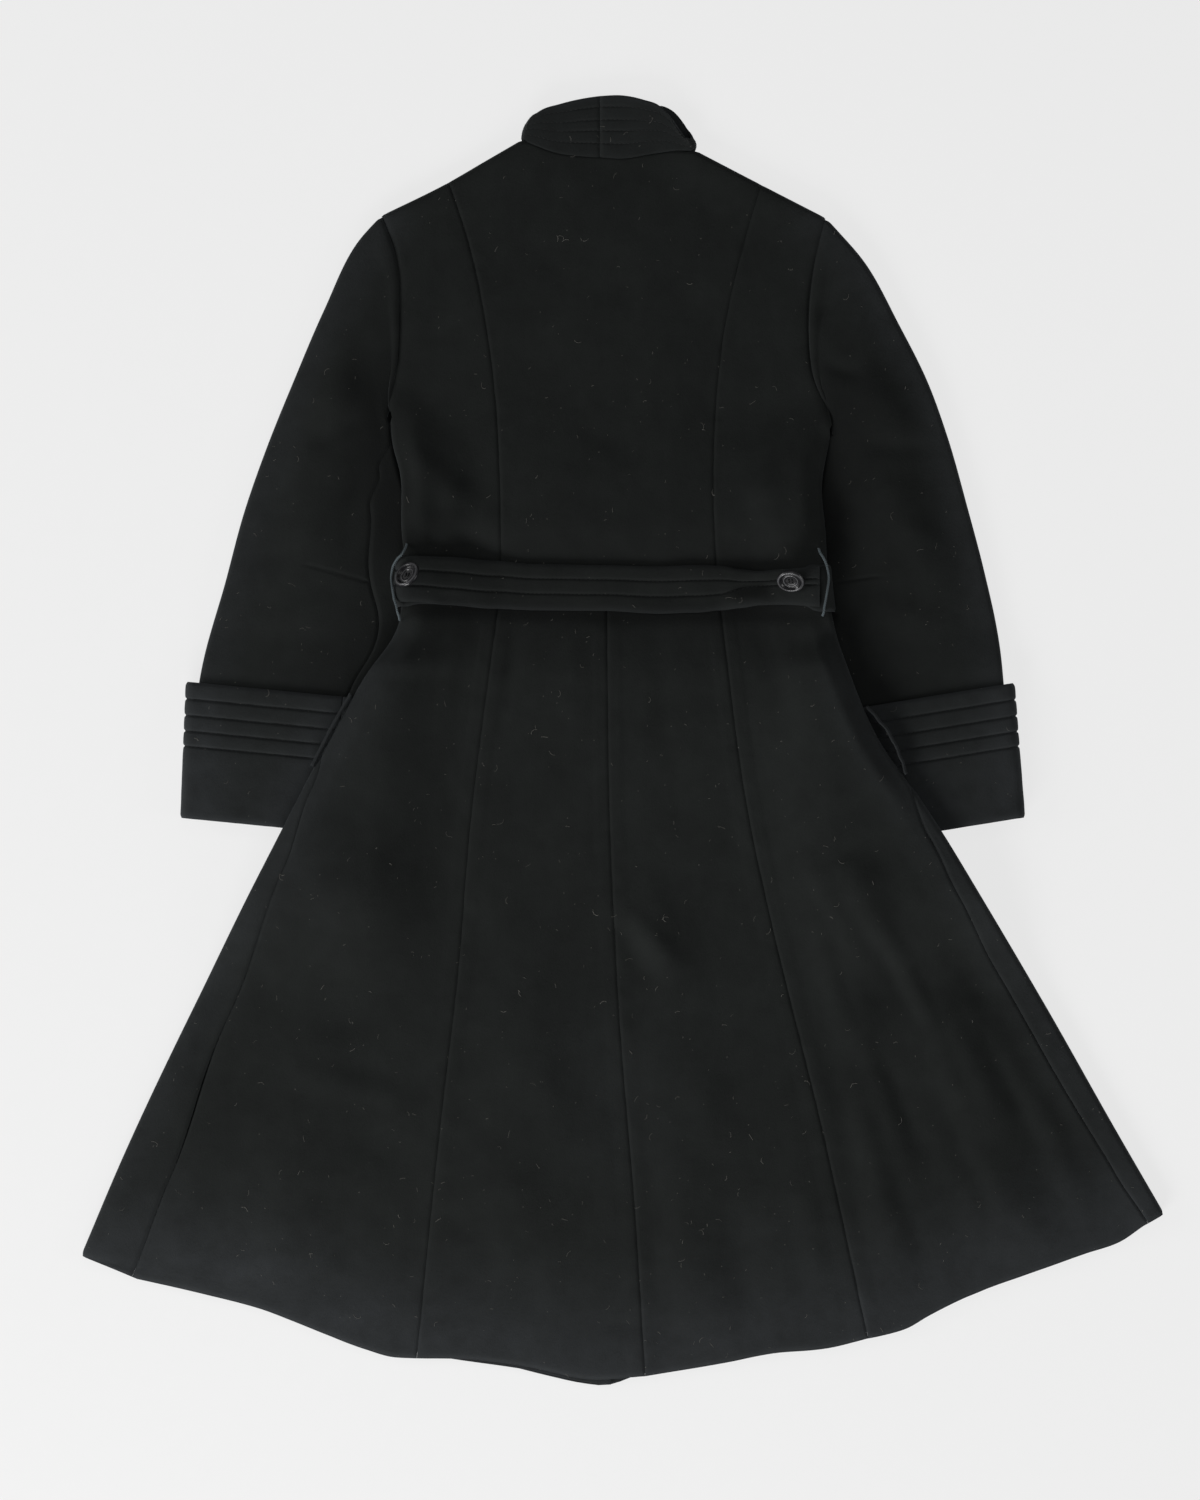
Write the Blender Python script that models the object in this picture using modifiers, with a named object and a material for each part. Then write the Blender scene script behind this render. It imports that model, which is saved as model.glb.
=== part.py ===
"""Belted overcoat of heavy black wool, laid flat on its front so that its back is up.

Every cloth piece is a wall of one thickness, laid where the photograph of the coat shows its seams and edges.
Tables are in millimetres: "across" to the right of the centre back, "down" from the nape, "height" above
the floor.
The frame's origin is on the floor under the middle of the coat, +X to the right, +Y to the collar, +Z up.
"""
import math

import bmesh
import bpy
import numpy as np

# Driving sizes, in metres
MM = 0.001
NAPE = (-0.0175, 0.52575)
WALL = 0.0025
QUILTED_WALL = 0.0032
GROOVE_SHARE = 0.62
FOLD_RADIUS = 0.0055
SEAM_GAP = 0.0003
LAYER_GAP = 0.0004
BELT_EASE = 0.0009
SIDE_SEAM_GAP = 0.0006
ARMHOLE_GAP = 0.0009
WAIST_DOWN = 389
BACK_SINK = 0.0023
SINK_WIDTH = 0.040
FOLD_FADE = (0.006, 0.045)
FRONT_LAP_AT_NECK = 43
LAP_STARTS_DOWN = (22, 66)
BELT_ROW = 26
BELT_WIDTH = 0.042
BUTTON_RADIUS = 0.0125
LOOP_RADIUS = 0.0011

# Worked out from the driving sizes
INNER_RADIUS = FOLD_RADIUS - WALL
QUARTER = INNER_RADIUS * math.pi / 2
LAP_STEP = WALL + LAYER_GAP
BELT_STEP = WALL + BELT_EASE

# Grid sizes: the number of strips between two seams, and the shares of the way down where rows lie
ARMHOLE_STRIPS = 7
NECK_STRIPS = 5
SLEEVE_STRIPS = 11
GORE_COLUMNS = (0.0, 0.05, 0.28, 0.50, 0.72, 0.95, 1.0)
SEAM_COLUMN = 0.045
SIDE_ROWS = (0.20, 0.40, 0.62, 0.84, 1.0)
SKIRT_ROWS = (0.0, 0.037, 0.075, 0.115, 0.16, 0.21, 0.265, 0.32, 0.38, 0.44, 0.51, 0.59, 0.68,
              0.78, 0.89, 1.0)
# Columns near a folded side, as distances in from the fold's middle line, in metres
BACK_COLUMNS = (0.072, 0.057, 0.042, 0.028, 0.014)
FRONT_COLUMNS = (0.170, 0.140, 0.112, 0.090) + BACK_COLUMNS

# Outline and seam tables, rows of (across, down)
SHOULDER = {
    "left": ((-74, -15), (-106, 3.6), (-139, 22.8), (-200, 53)),
    "right": ((85, -5), (143, 25.2), (201, 55)),
}
ARMHOLE_MIDDLE = {
    "left": ((-187, 89), (-184, 142), (-186, 183), (-192, 213)),
    "right": ((190, 102), (186, 158), (190, 195), (201, 222)),
}
UNDERARM = {"left": (-193, 232), "right": (207, 245)}
BODY_SIDE = {
    "left": ((-189, 262), (-183, 284), (-181, 336), (-179, 362), (-181, WAIST_DOWN)),
    "right": ((202, 266), (197, 297), (200, 340), (201, 364), (203, WAIST_DOWN)),
}
SKIRT_SIDE = {
    "left": ((-184, 419), (-216, 471), (-269, 569), (-288, 606), (-357, 742), (-434, 904), (-470.5, 990)),
    "right": ((206, 411), (224, 470), (247, 523), (281, 573), (304, 608), (338, 664), (385.5, 742),
              (467.5, 886), (506, 952.5)),
}
BODICE_PRINCESS = {
    "left": ((-139, 22.8), (-123, 71), (-104, 161), (-97, 218), (-93, 290), (-92, WAIST_DOWN)),
    "right": ((143, 25.2), (129, 70), (108, 165), (102, 220), (99, 290), (103, WAIST_DOWN)),
}
SKIRT_PRINCESS = {
    "left": ((-92, WAIST_DOWN), (-119, 599), (-132, 749), (-144, 850), (-168, 1083)),
    "right": ((103, WAIST_DOWN), (131, 593), (165, 745), (192, 853), (239, 1065)),
}
CENTRE_BACK = ((3, WAIST_DOWN), (7, 627), (16, 795), (28, 940), (38, 1099))
NECKLINE = ((-68, -13), (-42, -4), (-19, -1), (0, 0), (18, 1), (43, -3), (66, -5), (79, -4))
FRONT_NECK = {
    "left": ((0, 72), (-39, 55), (-61, 25)),
    "right": ((0, 72), (41, 58), (68, 30)),
}
SIDE_BACK_HEM = {
    "left": ((-192, 1081.5), (-214, 1075), (-268, 1054), (-304, 1040), (-358, 1025.5)),
    "right": ((256, 1061.5), (274, 1056), (293, 1045), (327, 1028), (380, 1008), (434, 989), (468, 977)),
}
CENTRE_BACK_HEM = {
    "left": ((-12, 1102), (-66, 1091), (-120, 1084)),
    "right": ((60, 1095.5), (110, 1087), (150, 1079), (205, 1073.5)),
}
FRONT_HEM = {
    "left": ((7, 1107), (-19, 1104), (-50, 1097), (-168, 1078), (-358, 1020)),
    "right": ((-79, 1092), (-47, 1100), (-19, 1106), (2, 1108), (33, 1098), (239, 1060), (429, 986)),
}

# How far the side seam lies in from the skirt's folded edge, rows of (share of the way down, inset)
SIDE_SEAM_INSET = {
    "left": ((0.0, 0), (0.22, 0), (0.30, 8), (0.41, 18), (0.62, 32), (0.85, 47), (1.0, 50)),
    "right": ((0.0, 0), (0.27, 0), (0.38, 13), (0.47, 17), (0.58, 22), (0.73, 23), (0.92, 20), (1.0, 17)),
}

# Sleeve edges, rows of (across, down), from the armhole to the sleeve's end inside the cuff
SLEEVE_OUTER = {
    "left": ((-200, 53), (-219, 74), (-252, 139), (-279, 202), (-304, 264), (-323.5, 320), (-341, 385),
             (-359, 449), (-364, 475), (-366, 580)),
    "right": ((201, 55), (212, 67), (233, 91), (267.5, 152), (292.5, 202), (311, 253), (328.5, 315),
              (344, 374), (357, 436), (361, 475), (365, 580)),
}
SLEEVE_INNER = {
    "left": ((-194.5, 232), (-191.4, 256), (-184.6, 283), (-181.6, 302), (-179, 346), (-179, 384),
             (-183, 418), (-195, 445), (-206, 481), (-214, 526), (-220, 580)),
    "right": ((208.5, 245), (203.6, 267), (197.4, 297), (198, 340), (199, 364), (203, 400), (207, 436),
              (211, 481), (215, 526), (221, 580)),
}
# Seam's distance in from the sleeve's inner edge, rows of (share of the way down, inset)
SLEEVE_SEAM_INSET = {
    "left": ((0.0, 0), (0.18, 1), (0.32, 12), (0.42, 22), (0.55, 28), (0.72, 28), (0.85, 24), (1.0, 22)),
    "right": ((0.0, 0), (1.0, 0)),
}
# Crown of the sleeve's upper side, and its lift over the underarm and the cuff's lower wall,
# rows of (share of the way down, height)
SLEEVE_CROWN = ((0.0, 0), (0.08, 0.4), (0.22, 6.0), (0.45, 8.0), (0.65, 5.0), (0.75, 0), (1.0, 0))
SLEEVE_LIFT = ((0.0, 0.4), (0.1, 0.4), (0.2, 0), (0.66, 0), (0.75, 3.6), (1.0, 3.6))

# Sections of the sleeve fan out from the underarm: powers of their shares along the outer and inner folds
OUTER_FAN = 0.8
INNER_FAN = 1.6
UNDERARM_TUCK = 0.3
# Points of the body's folded side, from the underarm, that stay open
UNDERARM_OPEN = 5

# Turned-back cuffs: corners as (across, down)
CUFF_CORNERS = {
    "left": {"outer_top": (-376, 473), "outer_end": (-381, 595.5), "inner_top": (-201, 490),
             "inner_end": (-212, 612)},
    "right": {"outer_top": (371, 474), "outer_end": (380.5, 595), "inner_top": (204, 501),
              "inner_end": (212, 622)},
}
CUFF_RADIUS = 0.0093
CUFF_SEAM_INSET = {"left": 0.033, "right": 0.0}
CUFF_GROOVES = (0.125, 0.245, 0.360, 0.470)
CUFF_PLAIN_ROWS = (0.64, 0.82)
CUFF_WIDTH_STRIPS = 7

# Height of the body over the sleeves and cuffs under its edges, rows of (down, height)
BODY_LIFT = ((218, 0), (350, 12.6), (436, 12.6), (462, 19.0), (650, 19.0), (760, 0))
BODY_LIFT_FADE = 0.075
# Inner edge of what lies under the body's sides, rows of (across, down)
UNDER_EDGE = {
    "left": ((-193, 232), (-179, 346), (-179, 384), (-185, 440), (-199, 470), (-201, 490),
             (-212, 625), (-222, 760)),
    "right": ((207, 245), (197, 297), (199, 364), (203, 440), (204, 500), (212, 625), (222, 760)),
}

# Largest folds of the back, rows of (across, down) at each end, ridge height and half width
BACK_FOLDS = (
    (-134, 292, -136, 340, 3.4, 16),
    (150, 290, 154, 340, 3.4, 16),
    (26, 660, 66, 760, 4.5, 30),
    (62, 880, 84, 1060, 4.5, 34),
    (222, 640, 250, 720, 8.0, 20),
    (196, 690, 232, 800, 6.0, 22),
    (286, 745, 352, 870, 9.0, 26),
    (212, 850, 262, 990, 6.0, 26),
    (330, 880, 390, 985, 5.0, 28),
    (-200, 640, -262, 800, 4.5, 34),
    (-250, 850, -312, 1000, 6.0, 34),
    (-70, 700, -82, 980, 3.5, 34),
)
# Largest folds of the sleeves' upper sides, as above
SLEEVE_FOLDS = {
    "left": ((-236, 203, -298, 255, 4.0, 18), (-252, 311, -292, 394, 4.0, 18),
             (-228, 160, -246, 240, 3.0, 16)),
    "right": ((204, 157, 229, 124, 3.5, 12), (243, 205, 285, 262, 4.0, 18), (262, 300, 316, 398, 4.0, 18)),
}

# Stand collar from the centre back round to the centre front, with columns
# base across, base down, base height, rim across, rim down, rim height
COLLAR = {
    "left": (
        (-2.85, -0.4, 6.2, -2.85, -54.8, 6.2),
        (-19.0, -1.4, 6.4, -17.0, -52.6, 6.8),
        (-42.0, -4.4, 7.0, -38.0, -47.6, 7.6),
        (-67.5, -13.6, 8.5, -58.5, -39.6, 8.5),
        (-70.6, -15.0, 7.6, -62.4, -36.4, 7.6),
        (-71.6, -15.4, 5.5, -63.4, -35.4, 5.5),
        (-70.6, -12.0, 3.4, -62.0, -33.0, 3.4),
        (-63.0, 3.0, 2.5, -50.0, -26.0, 2.5),
        (-54.0, 22.0, 2.5, -30.0, -10.0, 2.5),
        (-34.0, 49.0, 2.5, -14.0, 10.0, 2.5),
        (-0.4, 66.0, 2.5, -0.4, 22.0, 2.5),
    ),
    "right": (
        (-2.55, -0.4, 6.2, -2.55, -54.8, 6.2),
        (18.0, 0.6, 6.4, 16.0, -55.3, 7.0),
        (43.0, -3.4, 7.2, 37.0, -51.0, 8.5),
        (57.0, -5.4, 7.8, 48.0, -45.5, 10.0),
        (66.0, -6.4, 8.2, 55.0, -33.0, 11.5),
        (76.0, -6.4, 8.0, 66.5, -20.5, 13.0),
        (80.5, -6.6, 7.4, 75.5, -14.5, 12.0),
        (81.8, -6.4, 5.6, 78.0, -15.5, 9.0),
        (80.0, -3.0, 3.6, 76.0, -20.0, 5.6),
        (75.0, 4.0, 2.6, 70.5, -28.5, 4.0),
        (71.0, 10.0, 2.5, 61.5, -40.5, 3.4),
        (66.5, 17.0, 2.5, 52.0, -46.5, 3.0),
        (55.0, 33.0, 2.5, 37.0, -30.0, 2.5),
        (36.0, 51.0, 2.5, 18.0, 6.0, 2.5),
        (0.4, 66.0, 2.5, 0.4, 22.0, 2.5),
    ),
}
COLLAR_GROOVES = (0.175, 0.385, 0.56, 0.765)

# Belt: its middle line and the front belt's, rows of (across, down), the half belt's edges, rows of
# (across, upper down, lower down), its twist as a fold, and where its pieces end
BELT_LINE = ((-200, 382), (-120, 385), (11, 389), (120, 388), (210, 389))
FRONT_BELT_LINE = ((-200, 390), (-186, 388.5), (-166, 382.5), (-139, 383), (0, 386), (165, 389), (210, 390))
BELT_EDGES = (
    (-200, 361, 402), (-165, 361, 402), (-140, 361.5, 404.5), (-100, 364.5, 407.5), (-60, 367.5, 409),
    (0, 368.5, 409.5), (50, 369.5, 412), (85, 368.5, 411), (105, 369, 409), (125, 372.5, 406.5),
    (140, 374, 404.5), (160, 372.5, 404.5), (200, 370, 407),
)
BELT_FOLDS = ((112, 403, 146, 400, 4.5, 8),)
BELT_GROOVES = (0.31, 0.64)
BACK_BELT_END_ACROSS = 194
FRONT_BELT_TOP_COLUMNS = 3
BELT_OVERLAP = (0.050, 0.095)
BELT_MIDDLE_STRIPS = 9
BELT_LIFT_RAMP = (0.025, 0.055)

# Buttons: place on the belt (across, down), tilt of their faces about Y and X in degrees,
# rise over its inner face
BUTTONS = {"left": (-173, 380, -42, -30, 9.4), "right": (168, 381.5, 4, 47, 10.8)}
# Profile of half a button, from its edge's underside up: columns radius share and height
BUTTON_PROFILE = ((0.0, 0.0042), (0.30, 0.0040), (0.46, 0.0030), (0.62, 0.0032), (0.74, 0.0050),
                  (0.90, 0.0054), (1.0, 0.0040), (0.97, 0.0018), (0.80, 0.0004), (0.0, 0.0004))

# Thread loops round the belt at the folded sides, with columns down, degrees up round the fold, radius
BELT_LOOPS = {
    "left": ((350, 76, 6.7), (353, 73, 9.0), (356, 70, 12.0), (359.5, 65, 14.7), (365, 40, 14.9),
             (372, 16, 15.4), (380, 11, 15.5), (388, 26, 15.1), (394, 36, 14.9), (400, 45, 14.9),
             (406, 56, 14.8), (411, 62, 14.4), (415, 60, 10.0), (418.5, 56, 6.9)),
    "right": ((354, 106, 7.1), (358, 96, 8.4), (362, 82, 9.8), (366.5, 72, 11.0), (372, 66, 11.4),
              (380, 62, 11.5), (390, 73, 11.4), (400, 88, 11.2), (407, 100, 11.1), (411, 106, 10.9),
              (414.5, 124, 8.4)),
}

# Rolled pocket edges along the skirt's folded side, rows of (share of the way down, distance out)
POCKET_EDGE = {
    "left": ((0.160, 0.6), (0.185, 0.9), (0.215, 1.1), (0.245, 0.9), (0.270, 0.6)),
    "right": ((0.175, 0.6), (0.195, 5.0), (0.215, 8.5), (0.240, 8.0), (0.262, 5.0), (0.285, 0.6)),
}
POCKET_EDGE_FROM = 0.0030
POCKET_EDGE_TO = 0.0095

# Finishes: base colour, roughness and metallic value
FINISHES = {
    "black_wool": ((0.012, 0.013, 0.013, 1.0), 0.95, 0.0),
    "black_button": ((0.010, 0.010, 0.011, 1.0), 0.22, 0.0),
    "loop_thread": ((0.16, 0.18, 0.21, 1.0), 0.75, 0.0),
}
SIDES = ("left", "right")
UP = (0.0, 0.0, 1.0)
DOWN = (0.0, 0.0, -1.0)
COLLECTION = "belted_overcoat"


# Plan curves
def place(rows):
    """Points in the frame for rows of (across, down)."""
    table = np.asarray(rows, dtype=float) * MM
    return np.stack((NAPE[0] + table[:, 0], NAPE[1] - table[:, 1]), axis=1)


def smooth_curve(knots, spacing=0.002):
    """Points about a spacing apart on a smooth curve through the knots."""
    chord = np.concatenate(([0.0], np.cumsum(np.linalg.norm(np.diff(knots, axis=0), axis=1))))
    slope = np.gradient(knots, chord, axis=0)
    reach = np.linspace(0.0, chord[-1], max(3, int(chord[-1] / spacing)))
    part = np.clip(np.searchsorted(chord, reach, side="right") - 1, 0, len(chord) - 2)
    step = chord[part + 1] - chord[part]
    share = ((reach - chord[part]) / step)[:, None]
    step = step[:, None]
    return (
        knots[part] * (1 + 2 * share) * (1 - share) ** 2
        + slope[part] * step * share * (1 - share) ** 2
        + knots[part + 1] * share ** 2 * (3 - 2 * share)
        + slope[part + 1] * step * share ** 2 * (share - 1)
    )


def length_of(curve):
    """Length of a row of points."""
    return float(np.linalg.norm(np.diff(curve, axis=0), axis=1).sum())


def along(curve, shares):
    """Points at the given shares of a curve's length."""
    reach = np.concatenate(([0.0], np.cumsum(np.linalg.norm(np.diff(curve, axis=0), axis=1))))
    wanted = np.asarray(shares) * reach[-1]
    return np.stack([np.interp(wanted, reach, curve[:, axis]) for axis in range(curve.shape[1])], axis=-1)


def inward(curve, toward):
    """Unit directions square to a curve, on the side where a point lies."""
    direction = np.gradient(curve, axis=0)
    square = np.stack((-direction[:, 1], direction[:, 0]), axis=1)
    square /= np.linalg.norm(square, axis=1)[:, None]
    turn = np.sign(((np.asarray(toward) - curve) * square).sum())
    return square * turn


def inset(curve, distance, toward):
    """The curve moved square to itself toward a point."""
    return curve + distance * inward(curve, toward)


def table_value(table, value, scale=MM):
    """Eased value of a two-column table."""
    table = np.asarray(table, dtype=float)
    value = np.asarray(value, dtype=float)
    row = np.clip(np.searchsorted(table[:, 0], value, side="right") - 1, 0, len(table) - 2)
    share = (value - table[row, 0]) / (table[row + 1, 0] - table[row, 0])
    return scale * (table[row, 1] + (table[row + 1, 1] - table[row, 1]) * ease(share, 0.0, 1.0))


def ease(value, start, end):
    """Smooth step from 0 at start to 1 at end."""
    share = np.clip((np.asarray(value, dtype=float) - start) / (end - start), 0.0, 1.0)
    return share * share * (3 - 2 * share)


# Seam and edge curves in the frame
BODY_MIDDLE = place([(0, 200)])[0]
SHOULDER_FOLD = {side: inset(smooth_curve(place(SHOULDER[side])), WALL, BODY_MIDDLE) for side in SIDES}
BODY_OUTLINE = {
    side: smooth_curve(place((UNDERARM[side],) + BODY_SIDE[side] + SKIRT_SIDE[side])) for side in SIDES
}
BODY_INWARD = {side: inward(BODY_OUTLINE[side], BODY_MIDDLE) for side in SIDES}
BODY_FOLD = {side: BODY_OUTLINE[side] + WALL * BODY_INWARD[side] for side in SIDES}
WAIST_ROW = {
    side: int(np.argmin(np.abs(BODY_OUTLINE[side][:, 1] - (NAPE[1] - WAIST_DOWN * MM)))) for side in SIDES
}
ARMHOLE = {
    side: smooth_curve(np.vstack((SHOULDER_FOLD[side][-1:], place(ARMHOLE_MIDDLE[side] + (UNDERARM[side],)))))
    for side in SIDES
}
SLEEVE_MIDDLE = {side: place([row])[0] for side, row in (("left", (-270, 330)), ("right", (272, 330)))}
SLEEVE_OUTER_FOLD = {
    side: inset(smooth_curve(place(SLEEVE_OUTER[side])), WALL, SLEEVE_MIDDLE[side]) for side in SIDES
}
SLEEVE_INNER_CURVE = {side: smooth_curve(place(SLEEVE_INNER[side])) for side in SIDES}
SLEEVE_INNER_FOLD = {side: inset(SLEEVE_INNER_CURVE[side], WALL, SLEEVE_MIDDLE[side]) for side in SIDES}
BACK_SEAMS = [smooth_curve(place(CENTRE_BACK))]
BACK_SEAMS += [smooth_curve(place(BODICE_PRINCESS[side])) for side in SIDES]
BACK_SEAMS += [smooth_curve(place(SKIRT_PRINCESS[side])) for side in SIDES]
OUTWARD_X = {"left": -1.0, "right": 1.0}


# Heights of the layers, given for the cloth's inner face
def edge_distance(points, curves):
    """Distance from each point to the nearest of several curves."""
    flat = np.asarray(points).reshape(-1, 2)
    nearest = np.full(len(flat), np.inf)
    for curve in curves:
        start = curve[:-1]
        run = curve[1:] - start
        share = ((flat[:, None] - start) * run).sum(-1) / (run * run).sum(-1)
        foot = start + np.clip(share, 0.0, 1.0)[..., None] * run
        nearest = np.minimum(nearest, np.linalg.norm(flat[:, None] - foot, axis=-1).min(axis=1))
    return nearest.reshape(np.asarray(points).shape[:-1])


def rounded(distance, radius=INNER_RADIUS):
    """Rise of a folded edge's round above its middle, at a distance in from the fold."""
    within = np.clip(distance, 0.0, radius)
    return np.maximum(np.sqrt(radius ** 2 - (radius - within) ** 2), SEAM_GAP / 2)


def body_lift(points):
    """Height of the body over the sleeves and cuffs under its sides, and over the belt under its front."""
    points = np.asarray(points)
    down = (NAPE[1] - points[..., 1]) / MM
    lift = np.zeros(down.shape)
    for side in SIDES:
        inner = place(UNDER_EDGE[side])
        edge = np.interp(-points[..., 1], -inner[:, 1], inner[:, 0])
        inside = (edge - points[..., 0]) * OUTWARD_X[side]
        lift = lift + table_value(BODY_LIFT, np.clip(down, 0, 1200)) * (1 - ease(inside, 0.0, BODY_LIFT_FADE))
    from_waist = np.abs(points[..., 1] - belt_middle(points[..., 0]))
    return lift + BELT_STEP * (1 - ease(from_waist, *BELT_LIFT_RAMP))


def ridges(points, table):
    """Height that a table's folds add, which run out softly at both ends."""
    points = np.asarray(points)
    total = np.zeros(points.shape[:-1])
    for *ends, height, half_width in table:
        start, end = place((ends[:2], ends[2:]))
        run = end - start
        share = ((points - start) @ run) / (run @ run)
        foot = start + np.clip(share, 0.0, 1.0)[..., None] * run
        away = np.linalg.norm(points - foot, axis=-1) / (half_width * MM)
        strength = ease(share, -0.35, 0.35) * (1 - ease(share, 0.65, 1.35))
        total = total + strength * height * MM * np.exp(-away ** 2)
    return total


def body_edge_distance(points):
    """Distance in from the body's folded edges, which start a little under the open underarms."""
    sides = [BODY_FOLD[side][UNDERARM_OPEN:] for side in SIDES]
    return edge_distance(points, [SHOULDER_FOLD[side] for side in SIDES] + sides)


def back_height(points):
    """Height of the back's inner face."""
    distance = body_edge_distance(points)
    flat = FOLD_RADIUS + rounded(distance) - BACK_SINK * ease(distance, INNER_RADIUS, SINK_WIDTH)
    from_seams = np.minimum(distance, edge_distance(points, BACK_SEAMS))
    return flat + body_lift(points) + ridges(points, BACK_FOLDS) * ease(from_seams, *FOLD_FADE)


def front_height(points):
    """Height of the front's inner face, which lies on the floor where nothing is under it."""
    return FOLD_RADIUS - rounded(body_edge_distance(points)) + body_lift(points)


def belt_middle(x):
    """Y of the belt's middle line."""
    line = place(BELT_LINE)
    return np.interp(x, line[:, 0], line[:, 1])


# Grids
def edge_steps(length, strips, round_start, round_end):
    """Distances along a strip row, with two short steps at each end that turns round a fold."""
    turn = INNER_RADIUS * (1 - math.cos(math.pi / 4))
    start = [0.0, turn] if round_start else []
    end = [length - turn, length] if round_end else []
    first = INNER_RADIUS if round_start else 0.0
    last = length - INNER_RADIUS if round_end else length
    return np.array(start + list(np.linspace(first, last, strips + 1)) + end)


def side_columns(width, distances, rounded_end=True):
    """Shares of a panel's width at columns set by distances in from its folded side."""
    turn = INNER_RADIUS * (1 - math.cos(math.pi / 4))
    last = (INNER_RADIUS, turn, 0.0) if rounded_end else (INNER_RADIUS,)
    kept = [value for value in distances if value < width - 0.008]
    shares = 1 - np.array([width] + kept + list(last)) / width
    return shares if rounded_end else shares / shares[-1]


def patch(start_edge, end_edge, top, bottom):
    """Plan grid between four edges: rows run from the start to the end edge, columns from top to bottom."""
    v = np.concatenate(([0.0], np.cumsum(np.linalg.norm(np.diff(end_edge, axis=0), axis=1))))
    u = np.concatenate(([0.0], np.cumsum(np.linalg.norm(np.diff(top, axis=0), axis=1))))
    v = (v / v[-1])[:, None, None]
    u = (u / u[-1])[None, :, None]
    corners = (
        (1 - u) * (1 - v) * top[0] + u * (1 - v) * top[-1] + (1 - u) * v * bottom[0] + u * v * bottom[-1]
    )
    sides = (1 - u) * start_edge[:, None] + u * end_edge[:, None]
    return sides + (1 - v) * top[None] + v * bottom[None] - corners


def between(start, end, shares):
    """Points at shares of the straight line from start to end."""
    return np.asarray(start) + np.asarray(shares)[:, None] * (np.asarray(end) - np.asarray(start))


def raised(plan, heights):
    """Plan points with their heights."""
    return np.concatenate((plan, np.asarray(heights)[..., None]), axis=-1)


def fold_inset(past_middle):
    """Distance in from a fold's middle line after a way along its round."""
    way = np.maximum(np.asarray(past_middle, dtype=float), 0.0)
    return np.where(
        way < QUARTER,
        INNER_RADIUS * (1 - np.cos(np.minimum(way, QUARTER) / INNER_RADIUS)),
        INNER_RADIUS + way - QUARTER,
    )


def way_past_fold(distance):
    """Way along a fold's round that ends a distance in from its middle line."""
    near = math.acos(1 - min(distance, INNER_RADIUS) / INNER_RADIUS) * INNER_RADIUS
    return near + max(distance - INNER_RADIUS, 0.0)


def wrap_ways(total):
    """Ways round a fold from its lower end, with short steps on the round and one strip after it."""
    keys = np.arange(5) * QUARTER / 2
    return np.append(np.minimum(keys, total * np.arange(5) / 5), total)


# Solids
def finish(name):
    """The named material."""
    found = bpy.data.materials.get(name)
    if found:
        return found
    colour, roughness, metallic = FINISHES[name]
    material = bpy.data.materials.new(name)
    material.use_nodes = True
    shader = material.node_tree.nodes["Principled BSDF"]
    shader.inputs["Base Color"].default_value = colour
    shader.inputs["Roughness"].default_value = roughness
    shader.inputs["Metallic"].default_value = metallic
    return material


def add_object(name, data, material):
    """An object in the coat's collection."""
    piece = bpy.data.objects.new(name, data)
    data.materials.append(finish(material))
    bpy.data.collections[COLLECTION].objects.link(piece)
    return piece


def wall(name, points, facing, thickness=WALL, row_shares=None):
    """A cloth wall that grows outward from a grid of inner points, thinner on rows with a smaller share.

    facing is (row, column, direction) for one face of the grid, and says which way is outward.
    """
    rows, columns = points.shape[:2]
    grid = bmesh.new()
    bmesh.ops.create_grid(grid, x_segments=columns - 1, y_segments=rows - 1, size=1.0)
    weights = {}
    for vertex in grid.verts:
        column = round((vertex.co.x + 1) / 2 * (columns - 1))
        row = round((vertex.co.y + 1) / 2 * (rows - 1))
        vertex.co = points[row, column]
        weights[vertex.index] = 1.0 if row_shares is None else row_shares[row]
    row, column, direction = facing
    across = points[row, column + 1] - points[row, column]
    down = points[row + 1, column] - points[row, column]
    if np.cross(across, down) @ np.array(direction) < 0:
        bmesh.ops.reverse_faces(grid, faces=grid.faces)
    mesh = bpy.data.meshes.new(name)
    grid.to_mesh(mesh)
    grid.free()
    mesh.shade_smooth()
    piece = add_object(name, mesh, "black_wool")
    solidify = piece.modifiers.new("cloth", "SOLIDIFY")
    solidify.thickness = thickness
    solidify.offset = 1.0
    solidify.use_even_offset = True
    if row_shares is not None:
        group = piece.vertex_groups.new(name="cloth")
        for index, share in weights.items():
            group.add([index], share, "REPLACE")
        solidify.vertex_group = group.name
    return piece


def channel_rows(grooves, plain_rows=()):
    """Rows and wall shares for stitched channels: full between the grooves, thinner in each."""
    marks = (0.0,) + tuple(grooves) + (() if plain_rows else (1.0,))
    rows = [0.0]
    shares = [GROOVE_SHARE]
    for start, end in zip(marks, marks[1:]):
        rows += [(start + end) / 2, end]
        shares += [1.0, GROOVE_SHARE]
    for row in tuple(plain_rows) + ((1.0,) if plain_rows else ()):
        rows.append(row)
        shares.append(0.85)
    return np.array(rows), shares


# Bodice
def shoulder_end(side):
    """Share of the shoulder fold where the bodice ends at the armhole."""
    return 1 - ARMHOLE_GAP / 2 / length_of(SHOULDER_FOLD[side])


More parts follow.
